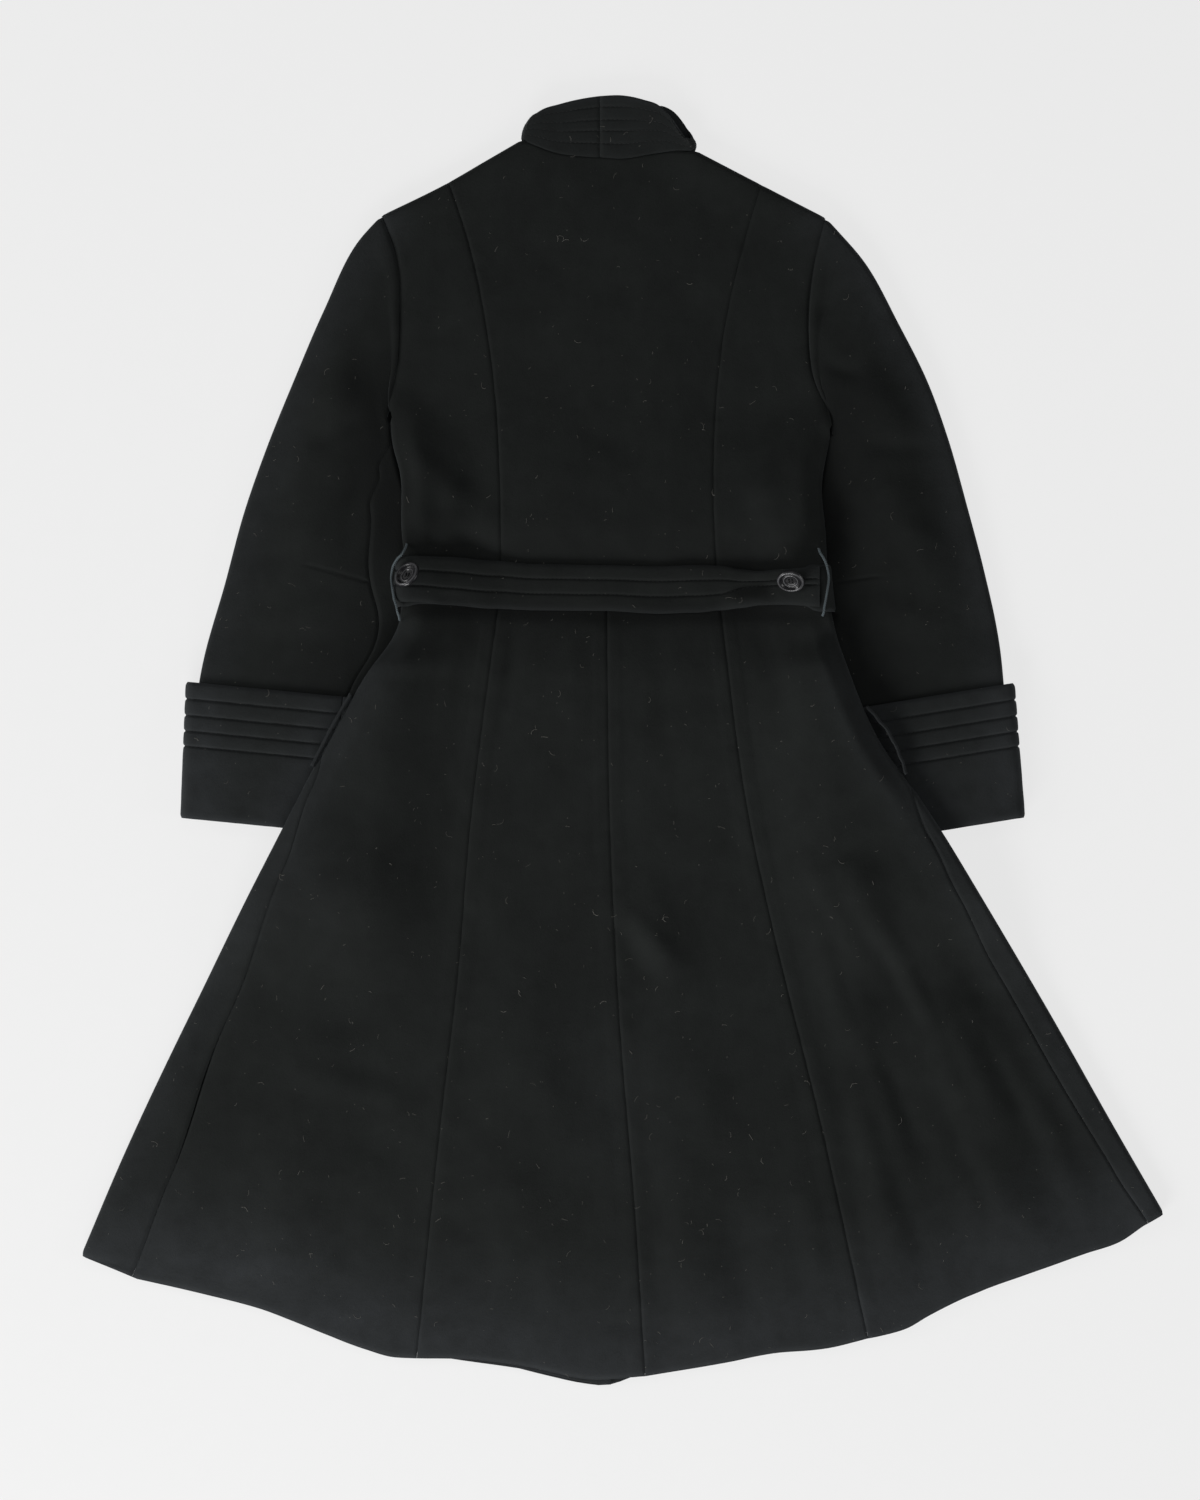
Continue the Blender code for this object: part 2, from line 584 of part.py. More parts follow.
def bodice_rows(side):
    """Outer edge of the side back from the shoulder down the armhole and the side, and each row's share."""
    armhole_length = length_of(ARMHOLE[side])
    steps = edge_steps(armhole_length, ARMHOLE_STRIPS, True, True)
    armhole = along(ARMHOLE[side], steps / armhole_length)
    armhole[:, 0] -= OUTWARD_X[side] * ARMHOLE_GAP / 2
    armhole[0] = along(SHOULDER_FOLD[side], shoulder_end(side))
    armhole[-3:] += np.outer((0.3, 0.7, 1.0), BODY_FOLD[side][0] - armhole[-1])
    fold = BODY_FOLD[side][: WAIST_ROW[side] + 1]
    return np.vstack((armhole, along(fold, np.array(SIDE_ROWS))))


def row_shares_of(edge):
    """Share of an edge's length at each of its points."""
    reach = np.concatenate(([0.0], np.cumsum(np.linalg.norm(np.diff(edge, axis=0), axis=1))))
    return reach / reach[-1]


def shoulder_share(side):
    """Share of the shoulder fold where the princess seam starts."""
    fold = SHOULDER_FOLD[side]
    start = place(BODICE_PRINCESS[side][:1])[0]
    return float(row_shares_of(fold)[np.argmin(np.linalg.norm(fold - start, axis=1))])


def princess_seam(side, turn):
    """Princess seam's points on the bodice's rows, moved out or in by half the seam's gap."""
    start = along(SHOULDER_FOLD[side], np.array([shoulder_share(side)]))
    curve = smooth_curve(np.vstack((start, place(BODICE_PRINCESS[side][1:]))))
    seam = along(curve, row_shares_of(bodice_rows("left")))
    seam[:, 0] += turn * OUTWARD_X[side] * SEAM_GAP / 2
    seam[-1, 1] = back_waist(SEAM_GAP)
    return seam


def back_waist(y_shift):
    """Height of the waist seam's edge in the plan."""
    return NAPE[1] - WAIST_DOWN * MM + y_shift


def bodice_centre_back():
    """Upper back between the princess seams, with the neckline and parts of both shoulders on top."""
    seams = {side: princess_seam(side, -1) for side in SIDES}
    shoulders = {}
    for side in SIDES:
        shoulders[side] = along(SHOULDER_FOLD[side], shoulder_share(side) * np.array([1.0, 0.5, 0.0]))
        shoulders[side][0] = seams[side][0]
    neck = place(NECKLINE)
    neck[:, 1] -= SEAM_GAP / 2
    top = np.vstack((shoulders["left"], neck, shoulders["right"][::-1]))
    shares = (top[:, 0] - top[0, 0]) / (top[-1, 0] - top[0, 0])
    bottom = between(seams["left"][-1], seams["right"][-1], shares)
    plan = patch(seams["left"], seams["right"], top, bottom)
    wall("bodice_centre_back", raised(plan, back_height(plan)), (8, 5, UP))


def bodice_side_back(side):
    """Side back from the shoulder to the waist, with the armhole and the folded side on its outer edge."""
    outer = bodice_rows(side)
    outer[-1, 1] = back_waist(SEAM_GAP)
    seam = princess_seam(side, 1)
    width = abs(outer[-1, 0] - seam[-1, 0])
    shares = side_columns(width, BACK_COLUMNS)
    share = shoulder_share(side)
    top = along(SHOULDER_FOLD[side], share + (shoulder_end(side) - share) * shares)
    top[0] = seam[0]
    bottom = between(seam[-1], outer[-1], shares)
    plan = patch(seam, outer, top, bottom)
    wall(f"bodice_side_back_{side}", raised(plan, back_height(plan)), (8, 2, UP))


def front_edge(side, downs):
    """The front's free edge at the given distances down."""
    lap = FRONT_LAP_AT_NECK if side == "left" else -FRONT_LAP_AT_NECK
    hem = FRONT_HEM[side][0]
    downs = np.asarray(downs, dtype=float)
    share = (downs - FRONT_NECK[side][0][1]) / (hem[1] - FRONT_NECK[side][0][1])
    return place(np.stack((lap + share * (hem[0] - lap), downs), axis=1))


def lapped(side, plan, heights):
    """Heights with the left front stepped over the right one, which lies under it."""
    if side == "right":
        return heights
    down = (NAPE[1] - plan[..., 1]) / MM
    edge = front_edge("right", down.ravel())[:, 0].reshape(down.shape)
    return heights + LAP_STEP * ease(plan[..., 0], edge - 0.105, edge - 0.042) * ease(down, *LAP_STARTS_DOWN)


def bodice_front(side):
    """Front above the waist: from its neckline and free edge to the armhole and the folded side."""
    outer = bodice_rows(side)
    outer[-1, 1] = back_waist(SEAM_GAP)
    neck_point = SHOULDER_FOLD[side][:1]
    lap_corner = front_edge(side, [FRONT_NECK[side][0][1]])
    neck = smooth_curve(np.vstack((neck_point, place(FRONT_NECK[side][::-1]), lap_corner)))
    neck_steps = edge_steps(length_of(neck), NECK_STRIPS, True, False) / length_of(neck)
    free_rows = len(outer) - len(neck_steps)
    downs = np.append(np.linspace(FRONT_NECK[side][0][1], WAIST_DOWN - BELT_ROW, free_rows)[1:], WAIST_DOWN)
    free = np.vstack((along(neck, neck_steps), front_edge(side, downs)))
    free[-1, 1] = back_waist(SEAM_GAP)
    width = abs(outer[-1, 0] - free[-1, 0])
    shares = side_columns(width, FRONT_COLUMNS)
    top = along(SHOULDER_FOLD[side], shoulder_end(side) * shares)
    bottom = between(free[-1], outer[-1], shares)
    plan = patch(free, outer, top, bottom)
    heights = lapped(side, plan, front_height(plan))
    wall(f"bodice_front_{side}", raised(plan, heights), (10, 2, DOWN))


# Skirt
def skirt_shares():
    """Shares of the way down the skirt at its rows."""
    return np.array(SKIRT_ROWS)


def skirt_edge(side):
    """Folded middle line of the skirt's side at its rows, and the directions into the skirt."""
    fold = BODY_FOLD[side][WAIST_ROW[side]:]
    direction = BODY_INWARD[side][WAIST_ROW[side]:]
    shares = skirt_shares()
    edge = along(fold, shares)
    edge[0, 1] = back_waist(-SEAM_GAP)
    return edge, along(direction, shares)


def seam_ways(side):
    """Way of the side seam past the fold's middle line at each row."""
    insets = table_value(SIDE_SEAM_INSET[side], skirt_shares())
    return np.array([way_past_fold(max(value - WALL, 0.0)) for value in insets])


def skirt_centre_back(side):
    """Back gore between the centre back seam and a princess seam."""
    shares = skirt_shares()
    turn = OUTWARD_X[side] * SEAM_GAP / 2
    centre = along(smooth_curve(place(CENTRE_BACK)), shares)
    seam = along(smooth_curve(place(SKIRT_PRINCESS[side])), shares)
    centre[:, 0] += turn
    seam[:, 0] -= turn
    centre[0, 1] = seam[0, 1] = back_waist(-SEAM_GAP)
    columns = np.array(GORE_COLUMNS)
    top = between(centre[0], seam[0], columns)
    hem = smooth_curve(np.vstack((centre[-1:], place(CENTRE_BACK_HEM[side]), seam[-1:])))
    plan = patch(centre, seam, top, along(hem, columns))
    wall(f"skirt_centre_back_{side}", raised(plan, back_height(plan)), (5, 2, UP))


def skirt_side_back(side):
    """Back gore between a princess seam and the side seam."""
    seam = along(smooth_curve(place(SKIRT_PRINCESS[side])), skirt_shares())
    seam[:, 0] += OUTWARD_X[side] * SEAM_GAP / 2
    edge, direction = skirt_edge(side)
    first = seam_ways(side) + SIDE_SEAM_GAP / 2
    seam[0, 1] = back_waist(-SEAM_GAP)
    turns = [edge + fold_inset(first + way)[:, None] * direction for way in (0.0, QUARTER / 2, QUARTER)]
    for turn in turns:
        turn[0, 1] = back_waist(-SEAM_GAP)
    columns = np.insert(side_columns(abs(edge[0, 0] - seam[0, 0]), BACK_COLUMNS, False), 1, SEAM_COLUMN)
    top = between(seam[0], turns[2][0], columns)
    hem = smooth_curve(np.vstack((seam[-1:], place(SIDE_BACK_HEM[side]), turns[2][-1:])))
    plan = patch(seam, turns[2], top, along(hem, columns))
    plan = np.concatenate((plan, turns[1][:, None], turns[0][:, None]), axis=1)
    wall(f"skirt_side_back_{side}", raised(plan, back_height(plan)), (5, 2, UP))


def skirt_front(side):
    """Front gore from its free edge along the floor, round the folded side and up to the side seam."""
    edge, direction = skirt_edge(side)
    shares = skirt_shares()
    hem_down = FRONT_HEM[side][0][1]
    free = front_edge(side, WAIST_DOWN + shares * (hem_down - WAIST_DOWN))
    free[0, 1] = back_waist(-SEAM_GAP)
    ends = QUARTER + seam_ways(side) - SIDE_SEAM_GAP / 2
    ways = np.array([wrap_ways(end) for end in ends])
    low = ways <= QUARTER
    distance = np.where(low, fold_inset(QUARTER - ways), fold_inset(ways - QUARTER))
    round_plan = edge[:, None] + distance[..., None] * direction[:, None]
    round_plan[0, :, 1] = back_waist(-SEAM_GAP)
    columns = side_columns(abs(edge[0, 0] - free[0, 0]), FRONT_COLUMNS, False)
    top = between(free[0], round_plan[0, 0], columns)
    hem = smooth_curve(np.vstack((place(FRONT_HEM[side]), round_plan[-1, :1])))
    floor_plan = patch(free, round_plan[:, 0], top, along(hem, columns))
    floor_heights = lapped(side, floor_plan, front_height(floor_plan))
    round_heights = np.where(low, front_height(round_plan), back_height(round_plan))
    points = np.concatenate(
        (raised(floor_plan, floor_heights), raised(round_plan, round_heights)[:, 1:]), axis=1
    )
    wall(f"skirt_front_{side}", points, (5, 1, DOWN))


# Sleeves and cuffs
def tube_columns(width, strips, seam_way, radius):
    """Columns round a flattened tube from its seam: distance from the inner fold, and 1 above or -1 below."""
    turn = radius * (1 - math.cos(math.pi / 4))
    quarter = radius * math.pi / 2

    def flat_of(way):
        way = max(way, 0.0)
        if way < quarter:
            return radius * (1 - math.cos(way / radius))
        return radius + way - quarter

    start = seam_way + SEAM_GAP / 2
    first_ways = [start, start + quarter / 2, start + quarter]
    upper = [flat_of(way) for way in first_ways]
    upper += list(np.linspace(upper[-1], width - radius, strips + 1)[1:]) + [width - turn, width]
    lower = [width - turn] + list(np.linspace(width - radius, radius, strips + 1))
    end = quarter + seam_way - SEAM_GAP / 2
    ways = np.append(np.minimum(np.arange(1, 5) * quarter / 2, end * np.arange(1, 5) / 5), end)
    closing = [
        (radius - radius * math.sin(way / radius), -1) if way < quarter else (flat_of(way - quarter), 1)
        for way in ways
    ]
    columns = [(value, 1) for value in upper] + [(value, -1) for value in lower]
    return np.array(columns + closing)


def sleeve_section(columns, width, inner, inner_square, outer, outer_square):
    """Plan points of a sleeve's section: square to both folds near them, and straight between."""
    from_inner = columns[:, :1]
    from_outer = width - from_inner
    low = inner + INNER_RADIUS * inner_square
    high = outer + INNER_RADIUS * outer_square
    straight = low + (from_inner - INNER_RADIUS) / (width - 2 * INNER_RADIUS) * (high - low)
    plan = np.where(from_inner < INNER_RADIUS, inner + from_inner * inner_square, straight)
    return np.where(from_outer < INNER_RADIUS, outer + from_outer * outer_square, plan)


def sleeve_head(side, ring, section, outer_share, shares):
    """Row halfway between the armhole's ring and the first section, which follows the outer fold's curve."""
    fold = along(SLEEVE_OUTER_FOLD[side], np.array((0.0, outer_share / 2, outer_share)))
    row = (ring + section) / 2
    row[:, :2] += shares[:, None] ** 3 * (fold[1] - (fold[0] + fold[2]) / 2)
    return row


def sleeve(side):
    """Sleeve cut in one, a flattened tube from the armhole to its end inside the cuff."""
    stations = np.linspace(0.0, 1.0, SLEEVE_STRIPS + 1)
    armhole_length = length_of(ARMHOLE[side])
    outer = along(SLEEVE_OUTER_FOLD[side], stations ** OUTER_FAN)
    inner = along(SLEEVE_INNER_FOLD[side], stations ** INNER_FAN)
    outer_square = along(inward(SLEEVE_OUTER_FOLD[side], SLEEVE_MIDDLE[side]), stations ** OUTER_FAN)
    inner_square = along(inward(SLEEVE_INNER_FOLD[side], SLEEVE_MIDDLE[side]), stations ** INNER_FAN)
    rows = []
    for row, station in enumerate(stations):
        width = armhole_length if row == 0 else float(np.linalg.norm(outer[row] - inner[row]))
        seam_inset = float(table_value(SLEEVE_SEAM_INSET[side], station))
        columns = tube_columns(width, ARMHOLE_STRIPS, way_past_fold(seam_inset), INNER_RADIUS)
        shares = columns[:, 0] / width
        plan = sleeve_section(columns, width, inner[row], inner_square[row], outer[row], outer_square[row])
        armhole = along(ARMHOLE[side][::-1], shares)
        bow = armhole - between(ARMHOLE[side][-1], ARMHOLE[side][0], shares)
        if row == 0:
            armhole[:, 0] += OUTWARD_X[side] * ARMHOLE_GAP / 2
            tucked = inner[row] + UNDERARM_TUCK * (plan - inner[row])
            plan = np.where(columns[:, :1] > INNER_RADIUS + SEAM_GAP, armhole, tucked)
        else:
            plan = plan + bow * max(0.0, 1 - station / 0.4) ** 2
        edge = width - columns[:, 0] if row == 0 else np.minimum(columns[:, 0], width - columns[:, 0])
        crown = float(table_value(SLEEVE_CROWN, station)) * np.sin(np.pi * shares) ** 2
        crease = ridges(plan, SLEEVE_FOLDS[side]) * np.sin(np.pi * shares) ** 2
        flat = rounded(edge) - BACK_SINK * ease(edge, INNER_RADIUS, SINK_WIDTH) * (station < 0.05)
        height = np.where(columns[:, 1] > 0, flat + crown + crease, -rounded(edge))
        lift = float(table_value(SLEEVE_LIFT, station))
        rows.append(raised(plan, FOLD_RADIUS + height + lift))
    rows.insert(1, sleeve_head(side, rows[0], rows[1], stations[1] ** OUTER_FAN, shares))
    wall(f"sleeve_{side}", np.array(rows), (5, 6, UP))


def cuff(side):
    """Turned-back cuff round the sleeve's end, with four stitched channels."""
    corners = {name: place([row])[0] for name, row in CUFF_CORNERS[side].items()}
    rows, shares = channel_rows(CUFF_GROOVES, CUFF_PLAIN_ROWS)
    inner_radius = CUFF_RADIUS - QUILTED_WALL
    points = []
    for row in rows:
        outer = corners["outer_top"] + row * (corners["outer_end"] - corners["outer_top"])
        inner = corners["inner_top"] + row * (corners["inner_end"] - corners["inner_top"])
        run = (outer - inner) / np.linalg.norm(outer - inner)
        outer = outer - QUILTED_WALL * run
        inner = inner + QUILTED_WALL * run
        width = float(np.linalg.norm(outer - inner))
        columns = tube_columns(width, CUFF_WIDTH_STRIPS, CUFF_SEAM_INSET[side], inner_radius)
        edge = np.minimum(columns[:, 0], width - columns[:, 0])
        rise = rounded(edge, inner_radius) * columns[:, 1]
        points.append(raised(between(inner, outer, columns[:, 0] / width), CUFF_RADIUS + rise))
    wall(f"cuff_{side}", np.array(points), (5, 6, UP), QUILTED_WALL, shares)


# Collar, belt and trimmings
def collar(side):
    """Half of the stand collar, from the centre back round the neck to the centre front."""
    stations = np.array(COLLAR[side])
    base = raised(place(stations[:, 0:2]), stations[:, 2] * MM)
    rim = raised(place(stations[:, 3:5]), stations[:, 5] * MM)
    rows, shares = channel_rows(COLLAR_GROOVES)
    points = rim[None] + rows[:, None, None] * (base - rim)[None]
    wall(f"collar_{side}", points, (3, 0, UP), WALL, shares)


def belt_fold(side, y):
    """Middle of the body's folded side at the belt: its X and height."""
    outline = BODY_OUTLINE[side]
    x = float(np.interp(-y, -outline[:, 1], outline[:, 0])) - OUTWARD_X[side] * FOLD_RADIUS
    return x, FOLD_RADIUS + float(body_lift(np.array([x, y])))


def belt_columns(side, y):
    """X of the panels' columns at the belt, from the folded side inward."""
    x = belt_fold(side, y)[0]
    return [x] + [x - OUTWARD_X[side] * (distance - INNER_RADIUS) for distance in BACK_COLUMNS[::-1]]


def half_belt_y(x, row):
    """Y at a share of the half belt's width, from its upper edge."""
    edges = np.array(BELT_EDGES)
    across = (x - NAPE[0]) / MM
    upper = float(table_value(edges[:, :2], across))
    lower = float(table_value(edges[:, ::2], across))
    return NAPE[1] - upper - row * (lower - upper)


def front_belt_y(x, row):
    """Y at a share of the front belt's width, from its upper edge."""
    line = place(FRONT_BELT_LINE)
    return float(np.interp(x, line[:, 0], line[:, 1])) + (0.5 - row) * BELT_WIDTH


def back_belt_base(x, y):
    """Height of the half belt's inner face: over the back, and over the front belt's ends near the sides."""
    near = min(abs(x - belt_fold(side, y)[0]) for side in SIDES)
    step = BELT_STEP * (1 - float(ease(near, *BELT_OVERLAP)))
    twist = float(ridges(np.array([x, y]), BELT_FOLDS))
    return float(back_height(np.array([x, y]))) + WALL + BELT_EASE + step + twist


def belt_turn(side, y, radius, degrees):
    """Points round the body's folded side."""
    centre_x, centre_z = belt_fold(side, y)
    angles = np.radians(degrees)
    return [
        (centre_x + radius * math.cos(angle) * OUTWARD_X[side], y, centre_z + radius * math.sin(angle))
        for angle in angles
    ]


def belt_back():
    """Half belt across the back, over the ends of the front belt, with two stitched rows."""
    rows, shares = channel_rows(BELT_GROOVES)
    fold_x = {side: belt_fold(side, float(place(BELT_LINE)[0, 1]))[0] for side in SIDES}
    end_x = place([(BACK_BELT_END_ACROSS, 0)])[0, 0]
    points = []
    for row in rows:
        y = half_belt_y(fold_x["left"], row)
        line = belt_turn("left", y, FOLD_RADIUS + 2 * BELT_EASE + WALL, (0.0, 45.0))
        left = belt_columns("left", y)
        right = belt_columns("right", y)
        middle = np.linspace(left[-1], right[-1], BELT_MIDDLE_STRIPS + 1)[1:-1]
        for x in left + list(middle) + right[:0:-1] + [end_x]:
            here = half_belt_y(x, row)
            line.append((x, here, back_belt_base(x, here)))
        points.append(line)
    wall("belt_back", np.array(points), (2, 8, UP), QUILTED_WALL, shares)


def belt_front():
    """Belt from under one end of the half belt, round the side, under the front and up the other side."""
    radius = FOLD_RADIUS + BELT_EASE
    points = []
    for row in (0.0, 0.5, 1.0):
        halves = {}
        for side in SIDES:
            y = front_belt_y(belt_fold(side, float(place(BELT_LINE)[0, 1]))[0], row)
            top = []
            for x in belt_columns(side, y)[FRONT_BELT_TOP_COLUMNS:0:-1]:
                here = front_belt_y(x, row)
                top.append((x, here, float(back_height(np.array([x, here]))) + WALL + BELT_EASE))
            turn = belt_turn(side, y, radius, (90.0, 45.0, 0.0, -45.0, -90.0))
            floor = []
            for distance in FRONT_COLUMNS[::-1]:
                x = belt_fold(side, y)[0] - OUTWARD_X[side] * (distance - INNER_RADIUS)
                here = front_belt_y(x, row)
                floor.append((x, here, float(body_lift(np.array([x, here]))) - BELT_EASE))
            halves[side] = top + turn + floor
        points.append(halves["left"] + halves["right"][::-1])
    wall("belt_front", np.array(points), (0, 12, DOWN))


def button(side):
    """Turned button with a raised rim and a dished middle."""
    across, down, tilt_y, tilt_x, rise = BUTTONS[side]
    profile = bmesh.new()
    last = None
    for share, height in BUTTON_PROFILE:
        vertex = profile.verts.new((share * BUTTON_RADIUS, 0.0, height))
        if last:
            profile.edges.new((last, vertex))
        last = vertex
    mesh = bpy.data.meshes.new(f"button_{side}")
    profile.to_mesh(mesh)
    profile.free()
    piece = add_object(f"button_{side}", mesh, "black_button")
    turned = piece.modifiers.new("turned", "SCREW")
    turned.steps = 20
    turned.render_steps = 20
    turned.use_merge_vertices = True
    turned.merge_threshold = 0.00001
    turned.use_smooth_shade = True
    x, y = place([(across, down)])[0]
    reach = BUTTON_RADIUS / 2
    slope = (back_belt_base(x + reach, y) - back_belt_base(x - reach, y)) / (2 * reach)
    piece.location = (x, y, back_belt_base(x, y) + rise * MM)
    piece.rotation_euler = (math.radians(tilt_x), math.radians(tilt_y) - math.atan(slope), 0.0)


def belt_loop(side):
    """Thread loop that holds the belt to the side."""
    knots = []
    for down, degrees, radius in BELT_LOOPS[side]:
        knots += belt_turn(side, NAPE[1] - down * MM, radius * MM, (degrees,))
    route = along(smooth_curve(np.array(knots)), np.linspace(0.0, 1.0, 25))
    curve = bpy.data.curves.new(f"belt_loop_{side}", "CURVE")
    curve.dimensions = "3D"
    curve.bevel_depth = LOOP_RADIUS
    curve.bevel_resolution = 2
    curve.use_fill_caps = True
    spline = curve.splines.new("POLY")
    spline.points.add(len(route) - 1)
    for point, co in zip(spline.points, route):
        point.co = (*co, 1.0)
    piece = add_object(f"belt_loop_{side}", curve, "loop_thread")
    piece.modifiers.new("closed ends", "WELD").merge_threshold = 0.00002


def pocket_edge(side):
    """Rolled edge of the side pocket, a narrow strip that stands along the skirt's folded side."""
    outline = BODY_OUTLINE[side][WAIST_ROW[side]:]
    outward = -BODY_INWARD[side][WAIST_ROW[side]:]
    table = np.array(POCKET_EDGE[side])
    shares = np.linspace(table[0, 0], table[-1, 0], 9)
    out = table_value(table, shares)
    plan = along(outline, shares) + out[:, None] * along(outward, shares)
    lift = body_lift(along(outline, shares))
    points = np.array([raised(plan, lift + height) for height in (POCKET_EDGE_FROM, POCKET_EDGE_TO)])
    wall(f"pocket_edge_{side}", points, (0, 4, (OUTWARD_X[side], 0.0, 0.0)))


def main():
    """Clears the scene and makes the coat."""
    for item in list(bpy.data.objects):
        bpy.data.objects.remove(item, do_unlink=True)
    collection = bpy.data.collections.new(COLLECTION)
    bpy.context.scene.collection.children.link(collection)
    bodice_centre_back()
    belt_back()
    belt_front()
    for side in SIDES:
        bodice_side_back(side)
        bodice_front(side)
        skirt_centre_back(side)
        skirt_side_back(side)
        skirt_front(side)
        sleeve(side)
        cuff(side)
        collar(side)
        button(side)
        belt_loop(side)
        pocket_edge(side)


main()
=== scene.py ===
"""Looks of the belted overcoat: fine wool panels, sewing, buttons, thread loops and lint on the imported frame.

Tables are in millimetres, as in the part's source: "across" to the right of the centre back, and "down"
from the nape. Every wool piece is laid on the form of its solid, with finer rolls, creases and stitched
channels.
"""
import math

import bmesh
import bpy
import numpy as np
from mathutils import Euler, Matrix, Vector, kdtree, noise


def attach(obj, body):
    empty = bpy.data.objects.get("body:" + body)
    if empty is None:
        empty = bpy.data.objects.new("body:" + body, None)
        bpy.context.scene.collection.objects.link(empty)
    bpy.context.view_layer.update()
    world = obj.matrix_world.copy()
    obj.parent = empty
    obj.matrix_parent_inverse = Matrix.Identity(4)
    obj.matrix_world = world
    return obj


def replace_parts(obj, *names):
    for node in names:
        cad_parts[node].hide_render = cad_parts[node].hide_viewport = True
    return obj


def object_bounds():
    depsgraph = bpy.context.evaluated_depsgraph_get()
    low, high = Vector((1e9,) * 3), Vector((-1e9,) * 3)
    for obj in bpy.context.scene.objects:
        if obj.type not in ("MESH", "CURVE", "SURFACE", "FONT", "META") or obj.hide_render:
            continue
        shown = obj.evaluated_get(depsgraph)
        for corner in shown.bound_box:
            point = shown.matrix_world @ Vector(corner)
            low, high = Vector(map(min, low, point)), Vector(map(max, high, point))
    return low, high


bl_info = {
    "name": "Belted overcoat",
    "version": (1, 0, 0),
    "blender": (4, 5, 0),
    "location": "View3D > Sidebar > Overcoat",
    "description": "Dresses the packed frame of a belted overcoat that lies flat with its back up",
    "category": "Object",
}

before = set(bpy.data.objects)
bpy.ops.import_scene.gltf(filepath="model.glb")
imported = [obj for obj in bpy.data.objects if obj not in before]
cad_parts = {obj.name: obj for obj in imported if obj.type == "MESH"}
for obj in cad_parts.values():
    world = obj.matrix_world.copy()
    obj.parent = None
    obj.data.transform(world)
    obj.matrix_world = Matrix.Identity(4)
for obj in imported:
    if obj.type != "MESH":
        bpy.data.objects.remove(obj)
CAD_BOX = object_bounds()

# Driving sizes of the solids, in metres, but in millimetres for the waist's and the lap's places
MM = 0.001
NAPE = (-0.0175, 0.52575)
WALL = 0.0025
QUILTED_WALL = 0.0032
FOLD_RADIUS = 0.0055
SEAM_GAP = 0.0001
LAYER_GAP = 0.0004
BELT_EASE = 0.0009
SIDE_SEAM_GAP = 0.0001
ARMHOLE_GAP = -0.0003
WAIST_DOWN = 389
BACK_SINK = 0.0023
SINK_WIDTH = 0.040
FOLD_FADE = (0.006, 0.045)
FRONT_LAP_AT_NECK = 43
LAP_STARTS_DOWN = (22, 66)
BELT_WIDTH = 0.042
BUTTON_RADIUS = 0.0125
LOOP_RADIUS = 0.0011
INNER_RADIUS = FOLD_RADIUS - WALL
QUARTER = INNER_RADIUS * math.pi / 2
LAP_STEP = WALL + LAYER_GAP
BELT_STEP = WALL + BELT_EASE
SIDES = ("left", "right")
OUTWARD_X = {"left": -1.0, "right": 1.0}
UP = np.array((0.0, 0.0, 1.0))
DOWN = -UP

# Columns on a quarter of a fold's round, close rows and columns beside a seam or a free edge, and the
# steps of the fronts, which lie under
TURNS = 6
SEAM_STEPS = np.array((0.0, 0.5, 1.1, 1.9, 3.2, 5.6)) * MM
GROOVE_STEPS = np.array((-2.6, -1.6, -0.9, -0.4, 0.0, 0.4, 0.9, 1.6, 2.6)) * MM
UNDER_STEP = 0.010
UNDER_ROW_STEP = 0.0065

# Outline and seam tables, rows of (across, down)
SHOULDER = {
    "left": ((-74, -15), (-106, 3.6), (-139, 22.8), (-200, 53)),
    "right": ((85, -5), (143, 25.2), (201, 55)),
}
ARMHOLE_MIDDLE = {
    "left": ((-187, 89), (-184, 142), (-186, 183), (-192, 213)),
    "right": ((190, 102), (186, 158), (190, 195), (201, 222)),
}
UNDERARM = {"left": (-193, 232), "right": (207, 245)}
BODY_SIDE = {
    "left": ((-189, 262), (-183, 284), (-181, 336), (-179, 362), (-181, WAIST_DOWN)),
    "right": ((202, 266), (197, 297), (200, 340), (201, 364), (203, WAIST_DOWN)),
}
SKIRT_SIDE = {
    "left": ((-184, 419), (-216, 471), (-269, 569), (-288, 606), (-357, 742), (-434, 904), (-470.5, 990)),
    "right": ((206, 411), (224, 470), (247, 523), (281, 573), (304, 608), (338, 664), (385.5, 742),
              (467.5, 886), (506, 952.5)),
}
BODICE_PRINCESS = {
    "left": ((-139, 22.8), (-123, 71), (-104, 161), (-97, 218), (-93, 290), (-92, WAIST_DOWN)),
    "right": ((143, 25.2), (129, 70), (108, 165), (102, 220), (99, 290), (103, WAIST_DOWN)),
}
SKIRT_PRINCESS = {
    "left": ((-92, WAIST_DOWN), (-119, 599), (-132, 749), (-144, 850), (-168, 1083)),
    "right": ((103, WAIST_DOWN), (131, 593), (165, 745), (192, 853), (239, 1065)),
}
CENTRE_BACK = ((3, WAIST_DOWN), (7, 627), (16, 795), (28, 940), (38, 1099))
NECKLINE = ((-68, -13), (-42, -4), (-19, -1), (0, 0), (18, 1), (43, -3), (66, -5), (79, -4))
FRONT_NECK = {
    "left": ((0, 72), (-39, 55), (-61, 25)),
    "right": ((0, 72), (41, 58), (68, 30)),
}
SIDE_BACK_HEM = {
    "left": ((-192, 1081.5), (-214, 1075), (-268, 1054), (-304, 1040), (-358, 1025.5)),
    "right": ((256, 1061.5), (274, 1056), (293, 1045), (327, 1028), (380, 1008), (434, 989), (468, 977)),
}
CENTRE_BACK_HEM = {
    "left": ((-12, 1102), (-66, 1091), (-120, 1084)),
    "right": ((60, 1095.5), (110, 1087), (150, 1079), (205, 1073.5)),
}
